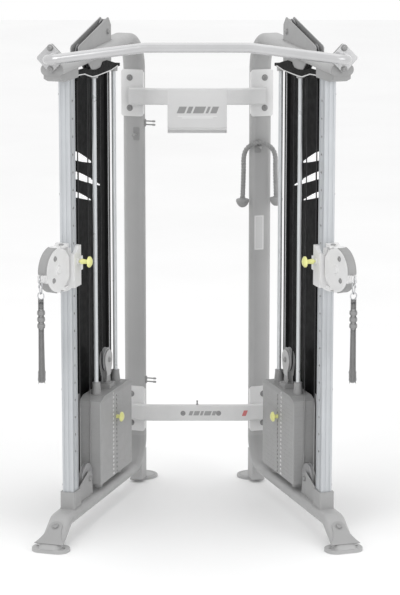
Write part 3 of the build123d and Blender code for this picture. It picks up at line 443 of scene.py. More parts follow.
def arc(centre, radius, start, end, steps):
    """Points (u, v) on an arc, angles in degrees."""
    return [
        (centre[0] + radius * math.cos(math.radians(a)), centre[1] + radius * math.sin(math.radians(a)))
        for a in (start + (end - start) * k / steps for k in range(steps + 1))
    ]


def rounded(width, height, corner, steps=4, centre=(0, 0)):
    """A rectangle's outline with round corners."""
    w, h = width / 2 - corner, height / 2 - corner
    points = []
    for cx, cy, turn in ((w, h, 0), (-w, h, 90), (-w, -h, 180), (w, -h, 270)):
        points += arc((centre[0] + cx, centre[1] + cy), corner, turn, turn + 90, steps)
    return points


UP = (0, 0, 1)
SIDE_VIEW = ((0, 1, 0), UP, (1, 0, 0))     # outline in (s, z), pushed along n
FRONT_VIEW = ((1, 0, 0), UP, (0, -1, 0))   # outline in (n, z), pushed forwards
BACK_VIEW = ((1, 0, 0), UP, (0, 1, 0))     # outline in (n, z), pushed rearwards
PLAN_VIEW = ((1, 0, 0), (0, 1, 0), UP)     # outline in (n, s), pushed up


def on_both(name, build, material, body, slot, matrix=tower, **options):
    """The same piece on each tower. body may hold {} for left or right."""
    made = []
    for word, side in SIDES.items():
        bm = bmesh.new()
        build(bm)
        mesh = to_mesh(f"{name}_{word}", bm, matrix(side))
        made.append(new_piece(f"{name}_{word}", mesh, material, body.format(word), slot, **options))
    return made


def single(name, build, material, body, slot, matrix=Matrix.Identity(4), **options):
    """One piece, in the row frame or in the frame that matrix gives."""
    bm = bmesh.new()
    build(bm)
    return new_piece(name, to_mesh(name, bm, matrix), material, body, slot, **options)


# ---- camera, floor and light
camera_data = bpy.data.cameras.new("camera")
camera = bpy.data.objects.new("camera", camera_data)
bpy.context.scene.collection.objects.link(camera)
bpy.context.scene.camera = camera
camera_data.sensor_fit = "VERTICAL"
camera_data.sensor_height = 36
camera_data.lens = 163.4
camera_data.shift_x = 0.0047
camera_data.clip_end = 60
camera.location = (0, -11.610, 3.475)
camera.rotation_euler = (math.radians(90 - 12.137), 0, 0)

floor_mesh = bpy.data.meshes.new("floor")
floor_mesh.from_pydata([(-20, -20, 0), (20, -20, 0), (20, 20, 0), (-20, 20, 0)], [], [(0, 1, 2, 3)])
floor = bpy.data.objects.new("floor", floor_mesh)
bpy.context.scene.collection.objects.link(floor)
floor_paint = Nodes("floor_paint")
floor_tone = floor_paint.ramp(floor_paint.noise(0.8, 3), 0.3, 0.7, shade(WHITE, 0.93), shade(WHITE, 0.96))
floor_paint.link(floor_tone, "Base Color")
floor_paint.shader.inputs["Roughness"].default_value = 0.9
floor_mesh.materials.append(floor_paint.mat)

world = bpy.data.worlds.new("studio")
bpy.context.scene.world = world
world.use_nodes = True
world.node_tree.nodes["Background"].inputs["Color"].default_value = WHITE
world.node_tree.nodes["Background"].inputs["Strength"].default_value = 1.0
bpy.context.scene.view_settings.view_transform = "Standard"


def softbox(name, place, aim, size, power):
    data = bpy.data.lights.new(name, "AREA")
    data.shape = "RECTANGLE"
    data.size, data.size_y = size
    data.energy = power
    lamp = bpy.data.objects.new(name, data)
    bpy.context.scene.collection.objects.link(lamp)
    lamp.location = place
    lamp.rotation_euler = (Vector(aim) - Vector(place)).to_track_quat("-Z", "Y").to_euler()


softbox("key", (-2.5, -4.5, 4.5), (0, 0, 1.0), (3, 3), 55)
softbox("fill", (3.5, -3.5, 3.0), (0, 0, 1.0), (3, 3), 32)
softbox("top", (0, 0.5, 5.0), (0, 0, 0), (4, 4), 20)

# ---- the pressdown rope
ROPE_X, ROPE_Y, ROPE_HALF = 0.281, UPRIGHT_Y + 0.770, 0.073
ROPE_CENTRE_Z, ROPE_TURNS = 1.527, 5
rope_step = 180 / ROPE_TURNS
rope_reach = ROPE_HALF / math.cos(math.radians(rope_step / 2))
rope_route = [
    (ROPE_X - ROPE_HALF - 0.003, 1.345), (ROPE_X - ROPE_HALF + 0.002, 1.466),
    *arc((ROPE_X, ROPE_CENTRE_Z), rope_reach, 180 - rope_step / 2, rope_step / 2, ROPE_TURNS - 1),
    (ROPE_X + ROPE_HALF - 0.002, 1.470), (ROPE_X + ROPE_HALF + 0.003, 1.352),
]
rope_curve = bpy.data.curves.new("rope_line", "CURVE")
rope_curve.dimensions = "3D"
rope_curve.resolution_u = 24
rope_spline = rope_curve.splines.new("NURBS")
rope_spline.points.add(len(rope_route) - 1)
for rope_point, (x, z) in zip(rope_spline.points, rope_route):
    rope_point.co = (x, ROPE_Y, z, 1)
rope_spline.order_u = 3
rope_spline.use_endpoint_u = True
rope_guide = bpy.data.objects.new("rope_line", rope_curve)
rope_line = [v.co.copy() for v in bpy.data.meshes.new_from_object(rope_guide).vertices]
bpy.data.objects.remove(rope_guide)


def walk(line, step):
    """Points along a line a step apart."""
    lengths = [0]
    for a, b in zip(line, line[1:]):
        lengths.append(lengths[-1] + (b - a).length)
    total = lengths[-1]
    count = max(2, round(total / step))
    points, index = [], 0
    for k in range(count + 1):
        at = total * k / count
        while index < len(line) - 2 and lengths[index + 1] < at:
            index += 1
        share = (at - lengths[index]) / max(1e-9, lengths[index + 1] - lengths[index])
        points.append(line[index].lerp(line[index + 1], min(1, max(0, share))))
    return points, total


rope_points, rope_length = walk(rope_line, 0.0018)
STRANDS, LAY, STRAND_RADIUS, STRAND_REACH = 2, 0.0275, 0.0070, 0.0042


def twisted_rope(bm):
    """Two thick strands laid round the rope's own line."""
    side = Vector((0, 1, 0))
    tangents = [(b - a).normalized() for a, b in zip(rope_points, rope_points[1:])]
    tangents.append(tangents[-1])
    for strand in range(STRANDS):
        path = []
        for k, (point, tangent) in enumerate(zip(rope_points, tangents)):
            along = rope_length * k / (len(rope_points) - 1)
            turn = 2 * math.pi * (along / LAY + strand / STRANDS)
            other = tangent.cross(side)
            path.append(point + (side * math.cos(turn) + other * math.sin(turn)) * STRAND_REACH)
        sweep(bm, path, circle(STRAND_RADIUS, 14))


rope = single("pressdown_rope_strands", twisted_rope, FIBRE, "frame", "rope_fibre", smooth=60)
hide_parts("pressdown_rope")

END_PROFILE = [
    (0, 0.004), (0.0125, 0.004), (0.0138, 0.001), (0.0150, -0.0005), (0.0255, -0.0015), (0.0290, -0.0045),
    (0.0295, -0.0090), (0.0285, -0.0160), (0.0245, -0.0250), (0.0180, -0.0335), (0.0100, -0.0390),
    (0, -0.0410),
]
for end_name, (x, z) in (("left", rope_route[0]), ("right", rope_route[-1])):
    single(
        f"rope_end_{end_name}",
        lambda bm: lathe(bm, END_PROFILE, (x, ROPE_Y, z), UP, 40),
        DOME, "frame", "rubber_grey", smooth=50,
    )
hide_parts("rope_ends")

# ---- handles: webbing, beads and grips
RING_Z = -0.0792               # the ring's centre below the swivel's pin
STRAP_THICK, STRAP_WIDE, LEG_STITCHES = 0.0030, 0.0235, 34
GRIP_Z, GRIP_HALF = -0.416, 0.0575


def webbing_section(width, thick):
    return rounded(width, thick, thick * 0.45, 3)


def leg_section(share):
    """The webbing spreads by 4 mm as it leaves the stitched neck."""
    return webbing_section(STRAP_THICK, STRAP_WIDE + 0.004 * min(1, max(0, (share - 0.3) * 2)))


def strap_legs(bm):
    """The folded webbing: a stitched neck, then two legs that part to the grip's ends and go round it."""
    for way in (-1, 1):
        path = [(0.0, way * 0.0052, -0.098), (0.0, way * 0.0052, -0.120), (0.0, way * 0.0045, -0.205)]
        path += [(0, way * y, z) for y, z in (
            (0.0060, -0.226), (0.0140, -0.252), (0.0290, -0.296), (0.0440, -0.340), (0.0560, -0.375),
            (0.0620, -0.394), (0.0640, -0.407), (0.0640, -0.423), (0.0600, -0.4280), (0.0545, -0.4285),
        )]
        smooth_path = []
        for a, b in zip(path, path[1:]):
            a, b = Vector(a), Vector(b)
            smooth_path += [a.lerp(b, t / 4) for t in range(4)]
        smooth_path.append(Vector(path[-1]))
        for _ in range(3):
            smooth_path = [smooth_path[0]] + [
                (p + 2 * q + r) / 4 for p, q, r in zip(smooth_path, smooth_path[1:], smooth_path[2:])
            ] + [smooth_path[-1]]
        sweep(bm, smooth_path, leg_section, up=(0, 1, 0))


def strap_loop(bm):
    """The webbing's turn over the ring."""
    path = [(0, p, q) for p, q in arc((0, RING_Z - 0.0146), 0.0052, 0, 180, 12)]
    path = [(0, 0.0052, -0.118)] + path + [(0, -0.0052, -0.118)]
    sweep(bm, path, webbing_section(STRAP_THICK, STRAP_WIDE), up=(0, 1, 0))


BEAD = [
    (0.0095, 0.0100), (0.0130, 0.0102), (0.0155, 0.0085), (0.0166, 0.0050), (0.0170, 0.0), (0.0166, -0.0050),
    (0.0155, -0.0085), (0.0130, -0.0102), (0.0095, -0.0100),
]


def bead_row(bm):
    for z in (-0.144, -0.172, -0.200):
        lathe(bm, BEAD, (0, 0, z), UP, 32, open_ends=True)


def bead_liners(bm):
    """The sleeve that shows between the beads."""
    half = [(0, 0.044), (0.0088, 0.044), (0.0098, 0.040)]
    lathe(bm, half + [(radius, -height) for radius, height in half[::-1]], (0, 0, -0.172), UP, 24)


def stitches(bm):
    """Rows of thread across the neck and down each leg's edges."""
    for z in [-0.2245 - 0.004 * k for k in range(4)]:
        for face in (-1, 1):
            sweep(bm, [(-0.010, face * 0.0085, z), (0, face * 0.0090, z - 0.0004), (0.010, face * 0.0085, z)],
                  circle(0.0006, 6))
    for way in (-1, 1):
        for edge in (-1, 1):
            for k in range(LEG_STITCHES):
                share = 0.06 + 0.9 * k / LEG_STITCHES
                z = -0.240 - 0.147 * share
                y = 0.0085 + 0.0515 * (share ** 0.96)
                x = edge * (0.0095 + 0.0015 * share)
                start = Vector((x, way * (y + 0.0020), z))
                stop = Vector((x, way * (y + 0.0029), z - 0.0030))
                middle = (start + stop) / 2 + Vector((0, way * 0.0005, 0))
                sweep(bm, [start, middle, stop], circle(0.00045, 5))


def grip_foam(bm):
    """A foam sleeve with rolled ribs."""
    profile = [(0.0105, -GRIP_HALF), (0.0148, -GRIP_HALF), (0.0158, -0.0560)]
    for k in range(16):
        y = -0.0535 + 0.107 * k / 15
        profile += [(0.0159, y - 0.0022), (0.0150, y), (0.0159, y + 0.0022)]
    profile += [(0.0158, 0.0560), (0.0148, GRIP_HALF), (0.0105, GRIP_HALF)]
    lathe(bm, profile, (0, 0, GRIP_Z), (0, 1, 0), 36, open_ends=True)


def grip_caps(bm):
    profile = [(0.0085, 0.0540), (0.0105, 0.0540), (0.0105, GRIP_HALF), (0.0162, 0.0578),
               (0.0166, 0.0592), (0.0160, 0.0612), (0.0118, 0.0618), (0.0085, 0.0600)]
    for way in (-1, 1):
        lathe(bm, profile, (0, 0, GRIP_Z), (0, way, 0), 36, open_ends=True)


def grip_tube(bm):
    lathe(bm, [(0.0083, -0.061), (0.0104, -0.061), (0.0104, 0.061), (0.0083, 0.061)],
          (0, 0, GRIP_Z), (0, 1, 0), 28, open_ends=True)


straps = on_both("strap_webbing", strap_legs, WEBBING, "handle_{}", "webbing", handle, smooth=50)
sleeves = on_both("grip_sleeve", grip_foam, FOAM, "handle_{}", "grip_foam", handle, smooth=50)
for pieces, stem in ((straps, "handle_strap"), (sleeves, "handle_grip")):
    for piece, word in zip(pieces, SIDES):
        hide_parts(f"{stem}_{word}")
on_both("strap_loop", strap_loop, WEBBING, "handle_{}", "webbing", handle, smooth=50)
on_both("strap_beads", bead_row, FOAM, "handle_{}", "grip_foam", handle, smooth=50)
on_both("strap_sleeve", bead_liners, RUBBER, "handle_{}", "rubber_grey", handle)
on_both("strap_stitches", stitches, THREAD, "handle_{}", "webbing", handle, smooth=60)
on_both("grip_caps", grip_caps, NYLON, "handle_{}", "pulley_nylon", handle)
on_both("grip_tube", grip_tube, BRIGHT, "handle_{}", "bright_steel", handle)


def hook_gate(bm):
    """The snap hook's gate, with its thumb lever."""
    sweep(bm, [(0.0122, 0, -0.012), (0.0113, 0, -0.024), (0.0088, 0, -0.044)], circle(0.0026, 12))
    lathe(bm, [(0, -0.004), (0.0036, -0.004), (0.0042, -0.002), (0.0042, 0.002), (0.0036, 0.004), (0, 0.004)],
          (0.0122, 0, -0.012), (0, 1, 0), 16)
    prism(bm, rounded(0.0050, 0.0120, 0.0020, 3, (0.0136, -0.030)), BACK_VIEW, -0.0020, 0.0020)


on_both(
    "hook_gate", hook_gate, BRIGHT, "handle_{}", "bright_steel",
    lambda side: swivel(side) @ Matrix.Translation((HANG_X, 0, HANG_Z)),
)


# ---- bolt heads, washers and axle ends
def bolt_head(bm, centre, axis, radius=0.0106, height=0.0072):
    """A washer and a domed head over a plain one."""
    lathe(
        bm,
        [(0, 0), (radius * 1.36, 0), (radius * 1.36, 0.0012), (radius * 1.30, 0.0016), (radius, 0.0016),
         (radius, height * 0.72), (radius * 0.93, height * 0.97), (radius * 0.72, height * 1.14),
         (radius * 0.52, height * 1.18), (radius * 0.47, height * 1.04), (0, height * 1.04)],
        centre, axis, 24,
    )


BEAM_Z, BRACKET_RISE, BOLT_PITCH, BOLT_N, BRACKET_FACE = (0.350, 1.812), 0.011, 0.137, -0.0116, 0.832
BAR_Z, BAR_FACE_S, FLANGE_BOLT_RISE = 2.098, -0.187, 0.044
FOOT_S, KNEE_S, RAIL_Z, TUBE_DEPTH = -0.245, -0.116, 0.100, 0.050
LEG_END = Vector((0, FOOT_S - 0.035, -0.005))
leg_along = (Vector((0, KNEE_S, RAIL_Z)) - LEG_END).normalized()
leg_normal = Vector((0, -leg_along.z, leg_along.y))
COVER_BOLT = LEG_END + leg_along * 0.128 + leg_normal * (TUBE_DEPTH / 2 + 0.005)
# the tower's pulleys: position along the tower, height, radius at the cable's centre
TOWER_PULLEYS = {
    "front_top": (0.165, 2.075, 0.040),
    "middle_top": (0.329, 2.060, 0.080),
    "rear_top": (0.459, 2.140, 0.050),
    "low": (0.187, 0.202, 0.062),
    "float": (0.459, 0.677, 0.050),
}
FLOAT_S, FLOAT_Z, FLOAT_RADIUS = TOWER_PULLEYS["float"]
GUSSET_FACE = 0.019


def tower_bolts(bm):
    for beam_z in BEAM_Z:
        for way in (-1, 1):
            bolt_head(bm, (BOLT_N, BRACKET_FACE, beam_z + BRACKET_RISE + way * BOLT_PITCH / 2), (0, -1, 0))
    for way in (-1, 1):
        bolt_head(bm, (0, BAR_FACE_S, BAR_Z + way * FLANGE_BOLT_RISE), (0, -1, 0))
    bolt_head(bm, (0, -0.060, 1.994), (0, 0, -1))
    bolt_head(bm, COVER_BOLT, leg_normal, radius=0.0127)
    bolt_head(bm, (-0.033, 0, 0.178), (-1, 0, 0), radius=0.0096)
    # on both faces of the gusset plates and the low pulley's fork, over the fixed axles
    for pulley in ("front_top", "middle_top", "rear_top", "low"):
        axle_s, axle_z, _ = TOWER_PULLEYS[pulley]
        for way in (-1, 1):
            bolt_head(bm, (way * GUSSET_FACE, axle_s, axle_z), (way, 0, 0), radius=0.0110)


on_both("bolt_heads", tower_bolts, BOLT, "frame", "dark_steel", smooth=40)


def float_axle(bm):
    for way in (-1, 1):
        bolt_head(bm, (way * 0.0155, FLOAT_S, FLOAT_Z), (way, 0, 0), radius=0.0100)


on_both("float_axle_ends", float_axle, BOLT, "stack_{}", "dark_steel", smooth=40)


CHEEK_WAIST = [(0.0355, 0.640), (0.0250, 0.620), (0.0220, 0.606)]


def float_cheeks(bm):
    """Cast cheeks over the clevis, broad at the axle and waisted above the top plate."""
    outline = arc((FLOAT_S, FLOAT_Z), 0.0450, -28, 208, 32)
    outline += [
        (FLOAT_S + way * half, z)
        for way, waist in ((-1, CHEEK_WAIST), (1, CHEEK_WAIST[::-1])) for half, z in waist
    ]
    for way in (-1, 1):
        prism(bm, outline, SIDE_VIEW, way * 0.0126, way * 0.0156)


on_both("float_cheeks", float_cheeks, CAST_DARK, "stack_{}", "plate_iron", bevel=0.0008)


def swivel_axle(bm):
    for way in (-1, 1):
        lathe(bm, [(0, 0), (0.0115, 0), (0.0115, 0.002), (0.0085, 0.0045), (0, 0.0050)],
              (0, 0, way * 0.0970), (0, 0, way), 24)


on_both("swivel_axle_ends", swivel_axle, BOLT, "swivel_{}", "dark_steel", swivel, smooth=40)

HOLE_TOP, HOLE_PITCH, HOLE_COUNT = 1.899, 0.0762, 21


def hole_shade_liners(bm):
    """Dark liners inside the upright's setting holes: painted shade in the holes."""
    for k in range(HOLE_COUNT):
        lathe(bm, [(0.0047, 0.0202), (0.0055, 0.0202), (0.0055, 0.0251), (0.0047, 0.0251)],
              (0, 0, HOLE_TOP - k * HOLE_PITCH), (1, 0, 0), 20, open_ends=True)


on_both("hole_shade_liners", hole_shade_liners, BOLT, "frame", "dark_steel")

# ---- swivel: guard band, rolled edges and cheek plates
PULLEY_REACH, SWIVEL_RADIUS, CHEEK_FACE = 0.050, 0.050, 0.0195


def guard_band_shaded(bm):
    """A thin band round the guard, in darker paint than the cast guard as painted shade, split where the exit
    block stands through it.
    """
    for start, stop in ((-78, -27), (-4, 78)):
        outer = arc((PULLEY_REACH, 0), 0.0990, start, stop, 28)
        inner = arc((PULLEY_REACH, 0), 0.0978, stop, start, 28)
        prism(bm, outer + inner, BACK_VIEW, -0.0165, 0.0165)


def guard_rolls(bm):
    """The guard's rolled edges."""
    for way in (-1, 1):
        for start, stop in ((-80, -27), (-4, 80)):
            sweep(bm, [(x, way * 0.0188, z) for x, z in arc((PULLEY_REACH, 0), 0.0966, start, stop, 36)],
                  circle(0.0027, 12), up=(0, 1, 0))


def cheek_plates(bm):
    """A disc with one flat side on each cheek, with a ring round its hub."""
    ring = [(0.0260, 0.0205), (0.0240, 0.0220), (0.0180, 0.0222), (0.0170, 0.0205)]
    for way in (-1, 1):
        outline = arc((PULLEY_REACH, 0), 0.0835, -128, 128, 48)
        prism(bm, outline, BACK_VIEW, way * CHEEK_FACE, way * 0.0208)
        lathe(bm, ring, (PULLEY_REACH, 0, 0), (0, way, 0), 40, open_ends=True)


def cheek_hubs(bm):
    profile = [(0, CHEEK_FACE), (0.0160, CHEEK_FACE), (0.0150, 0.0238), (0.0120, 0.0246),
               (0.0060, 0.0246), (0.0050, 0.0236), (0, 0.0236)]
    for way in (-1, 1):
        lathe(bm, profile, (PULLEY_REACH, 0, 0), (0, way, 0), 32)


def cheek_bolts(bm):
    for way in (-1, 1):
        for x, z in ((0.080, 0.052), (0.090, -0.040)):
            bolt_head(bm, (x, way * 0.0206, z), (0, way, 0), radius=0.0085, height=0.0050)


# the band's darker frame paint is painted shade on the guard's face
on_both("guard_band_shaded", guard_band_shaded, FRAME_DARK, "swivel_{}", "cast_paint", swivel, bevel=0.0004)
on_both("guard_rolls", guard_rolls, FRAME_DARK, "swivel_{}", "cast_paint", swivel)
on_both("cheek_plates", cheek_plates, CAST, "swivel_{}", "cast_paint", swivel, bevel=0.0005)
on_both("cheek_hubs", cheek_hubs, CAST, "swivel_{}", "cast_paint", swivel)
on_both("cheek_bolts", cheek_bolts, BOLT, "swivel_{}", "dark_steel", swivel, smooth=40)


def carriage_bolts(bm):
    for n, z in ((-0.0185, 1.2302), (-0.0337, 1.1327)):
        bolt_head(bm, (n, -0.0443, z), (0, -1, 0), radius=0.0088, height=0.0060)


on_both("carriage_bolts", carriage_bolts, BOLT, "carriage_{}", "dark_steel", smooth=40)

# ---- pulley faces
SPOKES = 6


def wheel_face(bm, centre, radius, axis, half=0.008, proud=0.0007):
    """A rim, hub and spokes standing proud of both sides of a sheave."""
    axis = Vector(axis).normalized()
    first = axis.orthogonal().normalized()
    second = axis.cross(first)
    centre = Vector(centre)
    for way in (-1, 1):
        base, top = way * (half - 0.0003), way * (half + proud)
        rim = [(radius + out, level) for out, level in (
            (0.0035, base), (0.0030, top), (-0.0035, top), (-0.0042, base),
        )]
        hub = [(0.0150, base), (0.0145, top), (0.0088, top), (0.0085, base)]
        spoke = [(0.0140, -0.0028), (radius - 0.0036, -0.0020), (radius - 0.0036, 0.0020), (0.0140, 0.0028)]
        lathe(bm, rim, centre, axis, 48, open_ends=True)
        lathe(bm, hub, centre, axis, 32, open_ends=True)
        for k in range(SPOKES):
            turn = 2 * math.pi * k / SPOKES
            along = first * math.cos(turn) + second * math.sin(turn)
            prism(bm, spoke, (along, axis.cross(along), axis), base, top, centre)


for pulley, (s, z, radius) in TOWER_PULLEYS.items():
    on_both(
        f"{pulley}_pulley_face", lambda bm: wheel_face(bm, (0, s, z), radius, (1, 0, 0)), NYLON,
        pulley + "_pulley_{}", "pulley_nylon",
    )
on_both(
    "swivel_pulley_face", lambda bm: wheel_face(bm, (PULLEY_REACH, 0, 0), SWIVEL_RADIUS, (0, 1, 0)), NYLON,
    "swivel_pulley_{}", "pulley_nylon", swivel,
)

# ---- the cable's moving runs
RUN_TOP, LIFT = TOWER_PULLEYS["middle_top"][1], 1.1
cable_section = circle(0.0025, 10)


def stack_run(way):
    """The run in front of the float pulley (way -1) or behind it (1)."""
    s = FLOAT_S + way * FLOAT_RADIUS
    points = [(0, s, FLOAT_Z + (RUN_TOP - FLOAT_Z) * k / 40) for k in range(41)]
    return lambda bm: sweep(bm, points, cable_section)


RUNS = {"front": (-1, CABLE), "rear": (1, CABLE_PALE)}
for run_name, (run_way, run_skin) in RUNS.items():
    runs = on_both(f"cable_run_{run_name}", stack_run(run_way), run_skin, "frame", "cable_skin")
    for run, word in zip(runs, SIDES):
        if run_name == "front":
            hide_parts(f"cable_stack_runs_{word}")
        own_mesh(run)


def float_wrap(bm):
    """The cable's turn under the float pulley."""
    sweep(bm, [(0, s, z) for s, z in arc((FLOAT_S, FLOAT_Z), FLOAT_RADIUS, 180, 360, 32)], cable_section)


on_both("float_cable_wrap", float_wrap, CABLE, "stack_{}", "cable_skin")


# ---- weight stack: numbers, guard and bushes
PLATE_PITCH, PLATE_COUNT, LIFTED_COUNT = 0.0194, 19, 6
LABEL_FACE, LABEL_S, LABEL_TOP, LABEL_STEP = 0.0498, 0.416, 0.535, 5
ROD_S = (0.333, 0.585)


def number_mesh(rows, up, out, height=0.0150):
    """(text, place) rows as one mesh of raised figures that face out."""
    bm = bmesh.new()
    for text, place in rows:
        data = bpy.data.curves.new("figure", "FONT")
        data.body = text
        data.size = height
        data.align_x = "CENTER"
        data.align_y = "CENTER"
        data.extrude = 0.00025
        data.resolution_u = 3
        holder = bpy.data.objects.new("figure", data)
        mesh = bpy.data.meshes.new_from_object(holder)
        m = Matrix((up.cross(out), up, out)).transposed().to_4x4()
        m.translation = place
        mesh.transform(m)
        bm.from_mesh(mesh)
        bpy.data.objects.remove(holder)
    mesh = bpy.data.meshes.new("figures")
    bm.to_mesh(mesh)
    bm.free()
    return mesh


for word, side in SIDES.items():
    m = tower(side)
    out = (m.to_3x3() @ Vector((1, 0, 0))).normalized()
    for part, body, plates in (
        ("upper", f"stack_{word}", range(1 + LIFTED_COUNT)),
        ("lower", "frame", range(1 + LIFTED_COUNT, 1 + PLATE_COUNT)),
    ):
        rows = [
            (str(LABEL_STEP * (k + 1)), m @ Vector((LABEL_FACE, LABEL_S, LABEL_TOP - k * PLATE_PITCH)))
            for k in plates
        ]
        figures = number_mesh(rows, Vector(UP), out)
        new_piece(f"plate_numbers_{part}_{word}", figures, MARK, body, "plate_iron")


def stack_guard(bm):
    """The thin guard at the stack's front outer corner."""
    outline = [(-0.066, 0.236), (-0.050, 0.236), (-0.050, 0.2395), (-0.0625, 0.2395), (-0.0625, 0.290),
               (-0.066, 0.290)]
    prism(bm, outline, PLAN_VIEW, 0.125, 0.556)


on_both("stack_guard", stack_guard, FRAME_DARK, "frame", "frame_paint", bevel=0.0012)


def rod_bushes(bm):
    """Nylon bushes in the top plate, round the guide rods."""
    for s in ROD_S:
        lathe(bm, [(0.0106, 0), (0.0185, 0), (0.0180, 0.0035), (0.0150, 0.0050), (0.0106, 0.0050)],
              (0, s, 0.598), UP, 32, open_ends=True)


on_both("rod_bushes", rod_bushes, NYLON, "stack_{}", "pulley_nylon")


def rod_collars(bm):
    """Collars that hold the guide rods under the cap."""
    for s in ROD_S:
        lathe(bm, [(0.0098, 1.953), (0.0170, 1.953), (0.0180, 1.955), (0.0180, 1.9695), (0.0098, 1.9695)],
              (0, s, 0), UP, 32, open_ends=True)


on_both("rod_collars", rod_collars, FRAME, "frame", "frame_paint")

# ---- cap: its moulded cowl, with a pale lower rim
COWL_TOP = [
    (0.030, 2.0200), (0.080, 2.0195), (0.159, 2.0172), (0.200, 2.0086), (0.248, 1.9990), (0.311, 1.9936),
    (0.360, 1.9960), (0.378, 2.0060), (0.388, 2.0170), (0.439, 2.0177), (0.513, 2.0019), (0.579, 1.9865),
]
COWL_LOW = [
    (0.030, 2.0030), (0.080, 1.9988), (0.159, 1.9939), (0.206, 1.9819), (0.248, 1.9720), (0.265, 1.9696),
    (0.328, 1.9680), (0.401, 1.9689), (0.494, 1.9702), (0.545, 1.9760), (0.579, 1.9800),
]
COWL_NEAR, COWL_FAR = 0.0195, 0.0225


def box_outline(left, right, low, high):
    return [(left, low), (right, low), (right, high), (left, high)]


def cap_cowl(bm):
    """The waved wall along the cap's inner edge, with ribs that tie it to the cap."""
    prism(bm, COWL_LOW + COWL_TOP[::-1], SIDE_VIEW, COWL_NEAR, COWL_FAR)
    for s in (0.110, 0.225, 0.350, 0.470):
        prism(bm, box_outline(s - 0.0012, s + 0.0012, 1.9825, 1.9900), SIDE_VIEW, 0.006, COWL_NEAR + 0.0005)


def cap_rim(bm):
    """A thin pale lip under the cowl."""
    under = [(s, z - 0.0045) for s, z in COWL_LOW]
    prism(bm, COWL_LOW + under[::-1], SIDE_VIEW, COWL_NEAR - 0.0010, COWL_FAR + 0.0012)


on_both("cap_cowl", cap_cowl, CAP, "frame", "black_panel", bevel=0.0008)
on_both("cap_rim", cap_rim, CAST, "frame", "cast_paint", bevel=0.0006)

# ---- shroud: plain slanted stripes, hems and screws
PANEL_N, CREST_DEPTH, CREST_SLOPE = -0.066, 0.008, 0.014


def panel_depth(s):
    """The sheet's inner face: two broad crests stand outwards."""
    for start, stop in ((0.110, 0.292), (0.482, 0.664)):
        low, high = start - CREST_SLOPE, stop + CREST_SLOPE
        if low <= s <= high:
            share = min(1, max(0, (s - low) / CREST_SLOPE), max(0, (high - s) / CREST_SLOPE))
            return PANEL_N - CREST_DEPTH * min(1, share)
    return PANEL_N


STRIPE_FALL = 0.30


def panel_stripes(bm):
    """Three plain slanted stripes of white film that glows faintly: painted light that keeps them white on
    the dark shroud.
    """
    for start, high, stop, thick in (
        (0.125, 1.665, 0.470, 0.022), (0.125, 1.580, 0.600, 0.017), (0.125, 1.495, 0.460, 0.014),
    ):
        before = None
        for k in range(33):
            share = k / 32
            s = start + (stop - start) * share
            half = thick * math.sin(math.pi * (0.35 + 0.60 * share))
            z = high - STRIPE_FALL * (s - start)
            line = [bm.verts.new((panel_depth(s) + 0.0004, s, z + half * j)) for j in (-1, -0.5, 0, 0.5, 1)]
            if before:
                for j in range(4):
                    bm.faces.new((before[j], line[j], line[j + 1], before[j + 1]))
            before = line
    bmesh.ops.solidify(bm, geom=bm.faces[:], thickness=0.0003)


on_both("panel_stripes", panel_stripes, GLOWING_FILM, "frame", "black_panel")


def panel_hems(bm):
    """Folded edges up the sheet's front and rear, and along its foot and top."""
    for s in (0.092, 0.710):
        prism(bm, rounded(0.0064, 0.0050, 0.0020, 3, (PANEL_N - 0.0015, s)), PLAN_VIEW, 0.1515, 1.9685)
    for z in (0.154, 1.966):
        prism(bm, rounded(0.0060, 0.0050, 0.0020, 3, (PANEL_N - 0.0085, z)), BACK_VIEW, 0.095, 0.706)


on_both("panel_hems", panel_hems, PANEL, "frame", "black_panel")


SCREW = [(0, 0), (0.0070, 0), (0.0066, 0.0018), (0.0045, 0.0030), (0.0022, 0.0032), (0, 0.0022)]
SCREW_ROWS = (0.190, 0.620, 1.050, 1.480, 1.910)


def panel_screws(bm):
    """A column of screws near each edge of the sheet, and two on its middle line."""
    for s, heights in ((0.102, SCREW_ROWS), (0.387, (SCREW_ROWS[0], SCREW_ROWS[-1])), (0.692, SCREW_ROWS)):
        for z in heights:
            lathe(bm, SCREW, (panel_depth(s) - 0.003, s, z), (-1, 0, 0), 20)


on_both("panel_screws", panel_screws, BOLT, "frame", "dark_steel", smooth=50)

# ---- sign and lower beam: plain bars in place of words
sign_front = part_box("sign_panel")[0][1]
SIGN_FACE, BEAM_FRONT = sign_front + 0.012, sign_front + 0.015


def slanted(width, height, lean, x, z):
    """A leaning bar's outline, from its lower left corner."""
    return [(x, z), (x + width, z), (x + width + lean, z + height), (x + lean, z + height)]


def raised(bm, outline, face, proud):
    """An outline in (x, z) standing proud of a face that looks forwards."""
    prism(bm, outline, FRONT_VIEW, -face, proud - face)


def bar_row(bm, widths, gap, height, lean, x, z, face, proud):
    for width in widths:
        raised(bm, slanted(width, height, lean, x, z), face, proud)
        x += width + gap


def sign_bars(bm):
    bar_row(bm, (0.034, 0.020, 0.048, 0.012, 0.028), 0.009, 0.030, 0.012, -0.092, 1.7380, SIGN_FACE, 0.0006)


def sign_lines(bm):
    for z, half in ((1.7230, 0.088), (1.7155, 0.070)):
        raised(bm, slanted(2 * half, 0.0035, 0.002, -half, z), SIGN_FACE, 0.0006)


def sign_border(bm):
    for edges in (
        (-0.129, 0.129, 1.8385, 1.8400), (-0.129, 0.129, 1.6740, 1.6755),
        (-0.129, -0.1275, 1.6740, 1.8400), (0.1275, 0.129, 1.6740, 1.8400),
    ):
        raised(bm, box_outline(*edges), SIGN_FACE, 0.0007)


single("sign_bars", sign_bars, FRAME_DARK, "frame", "cast_paint")
single("sign_lines", sign_lines, MARK, "frame", "cast_paint")
single("sign_border", sign_border, CAST, "frame", "cast_paint")


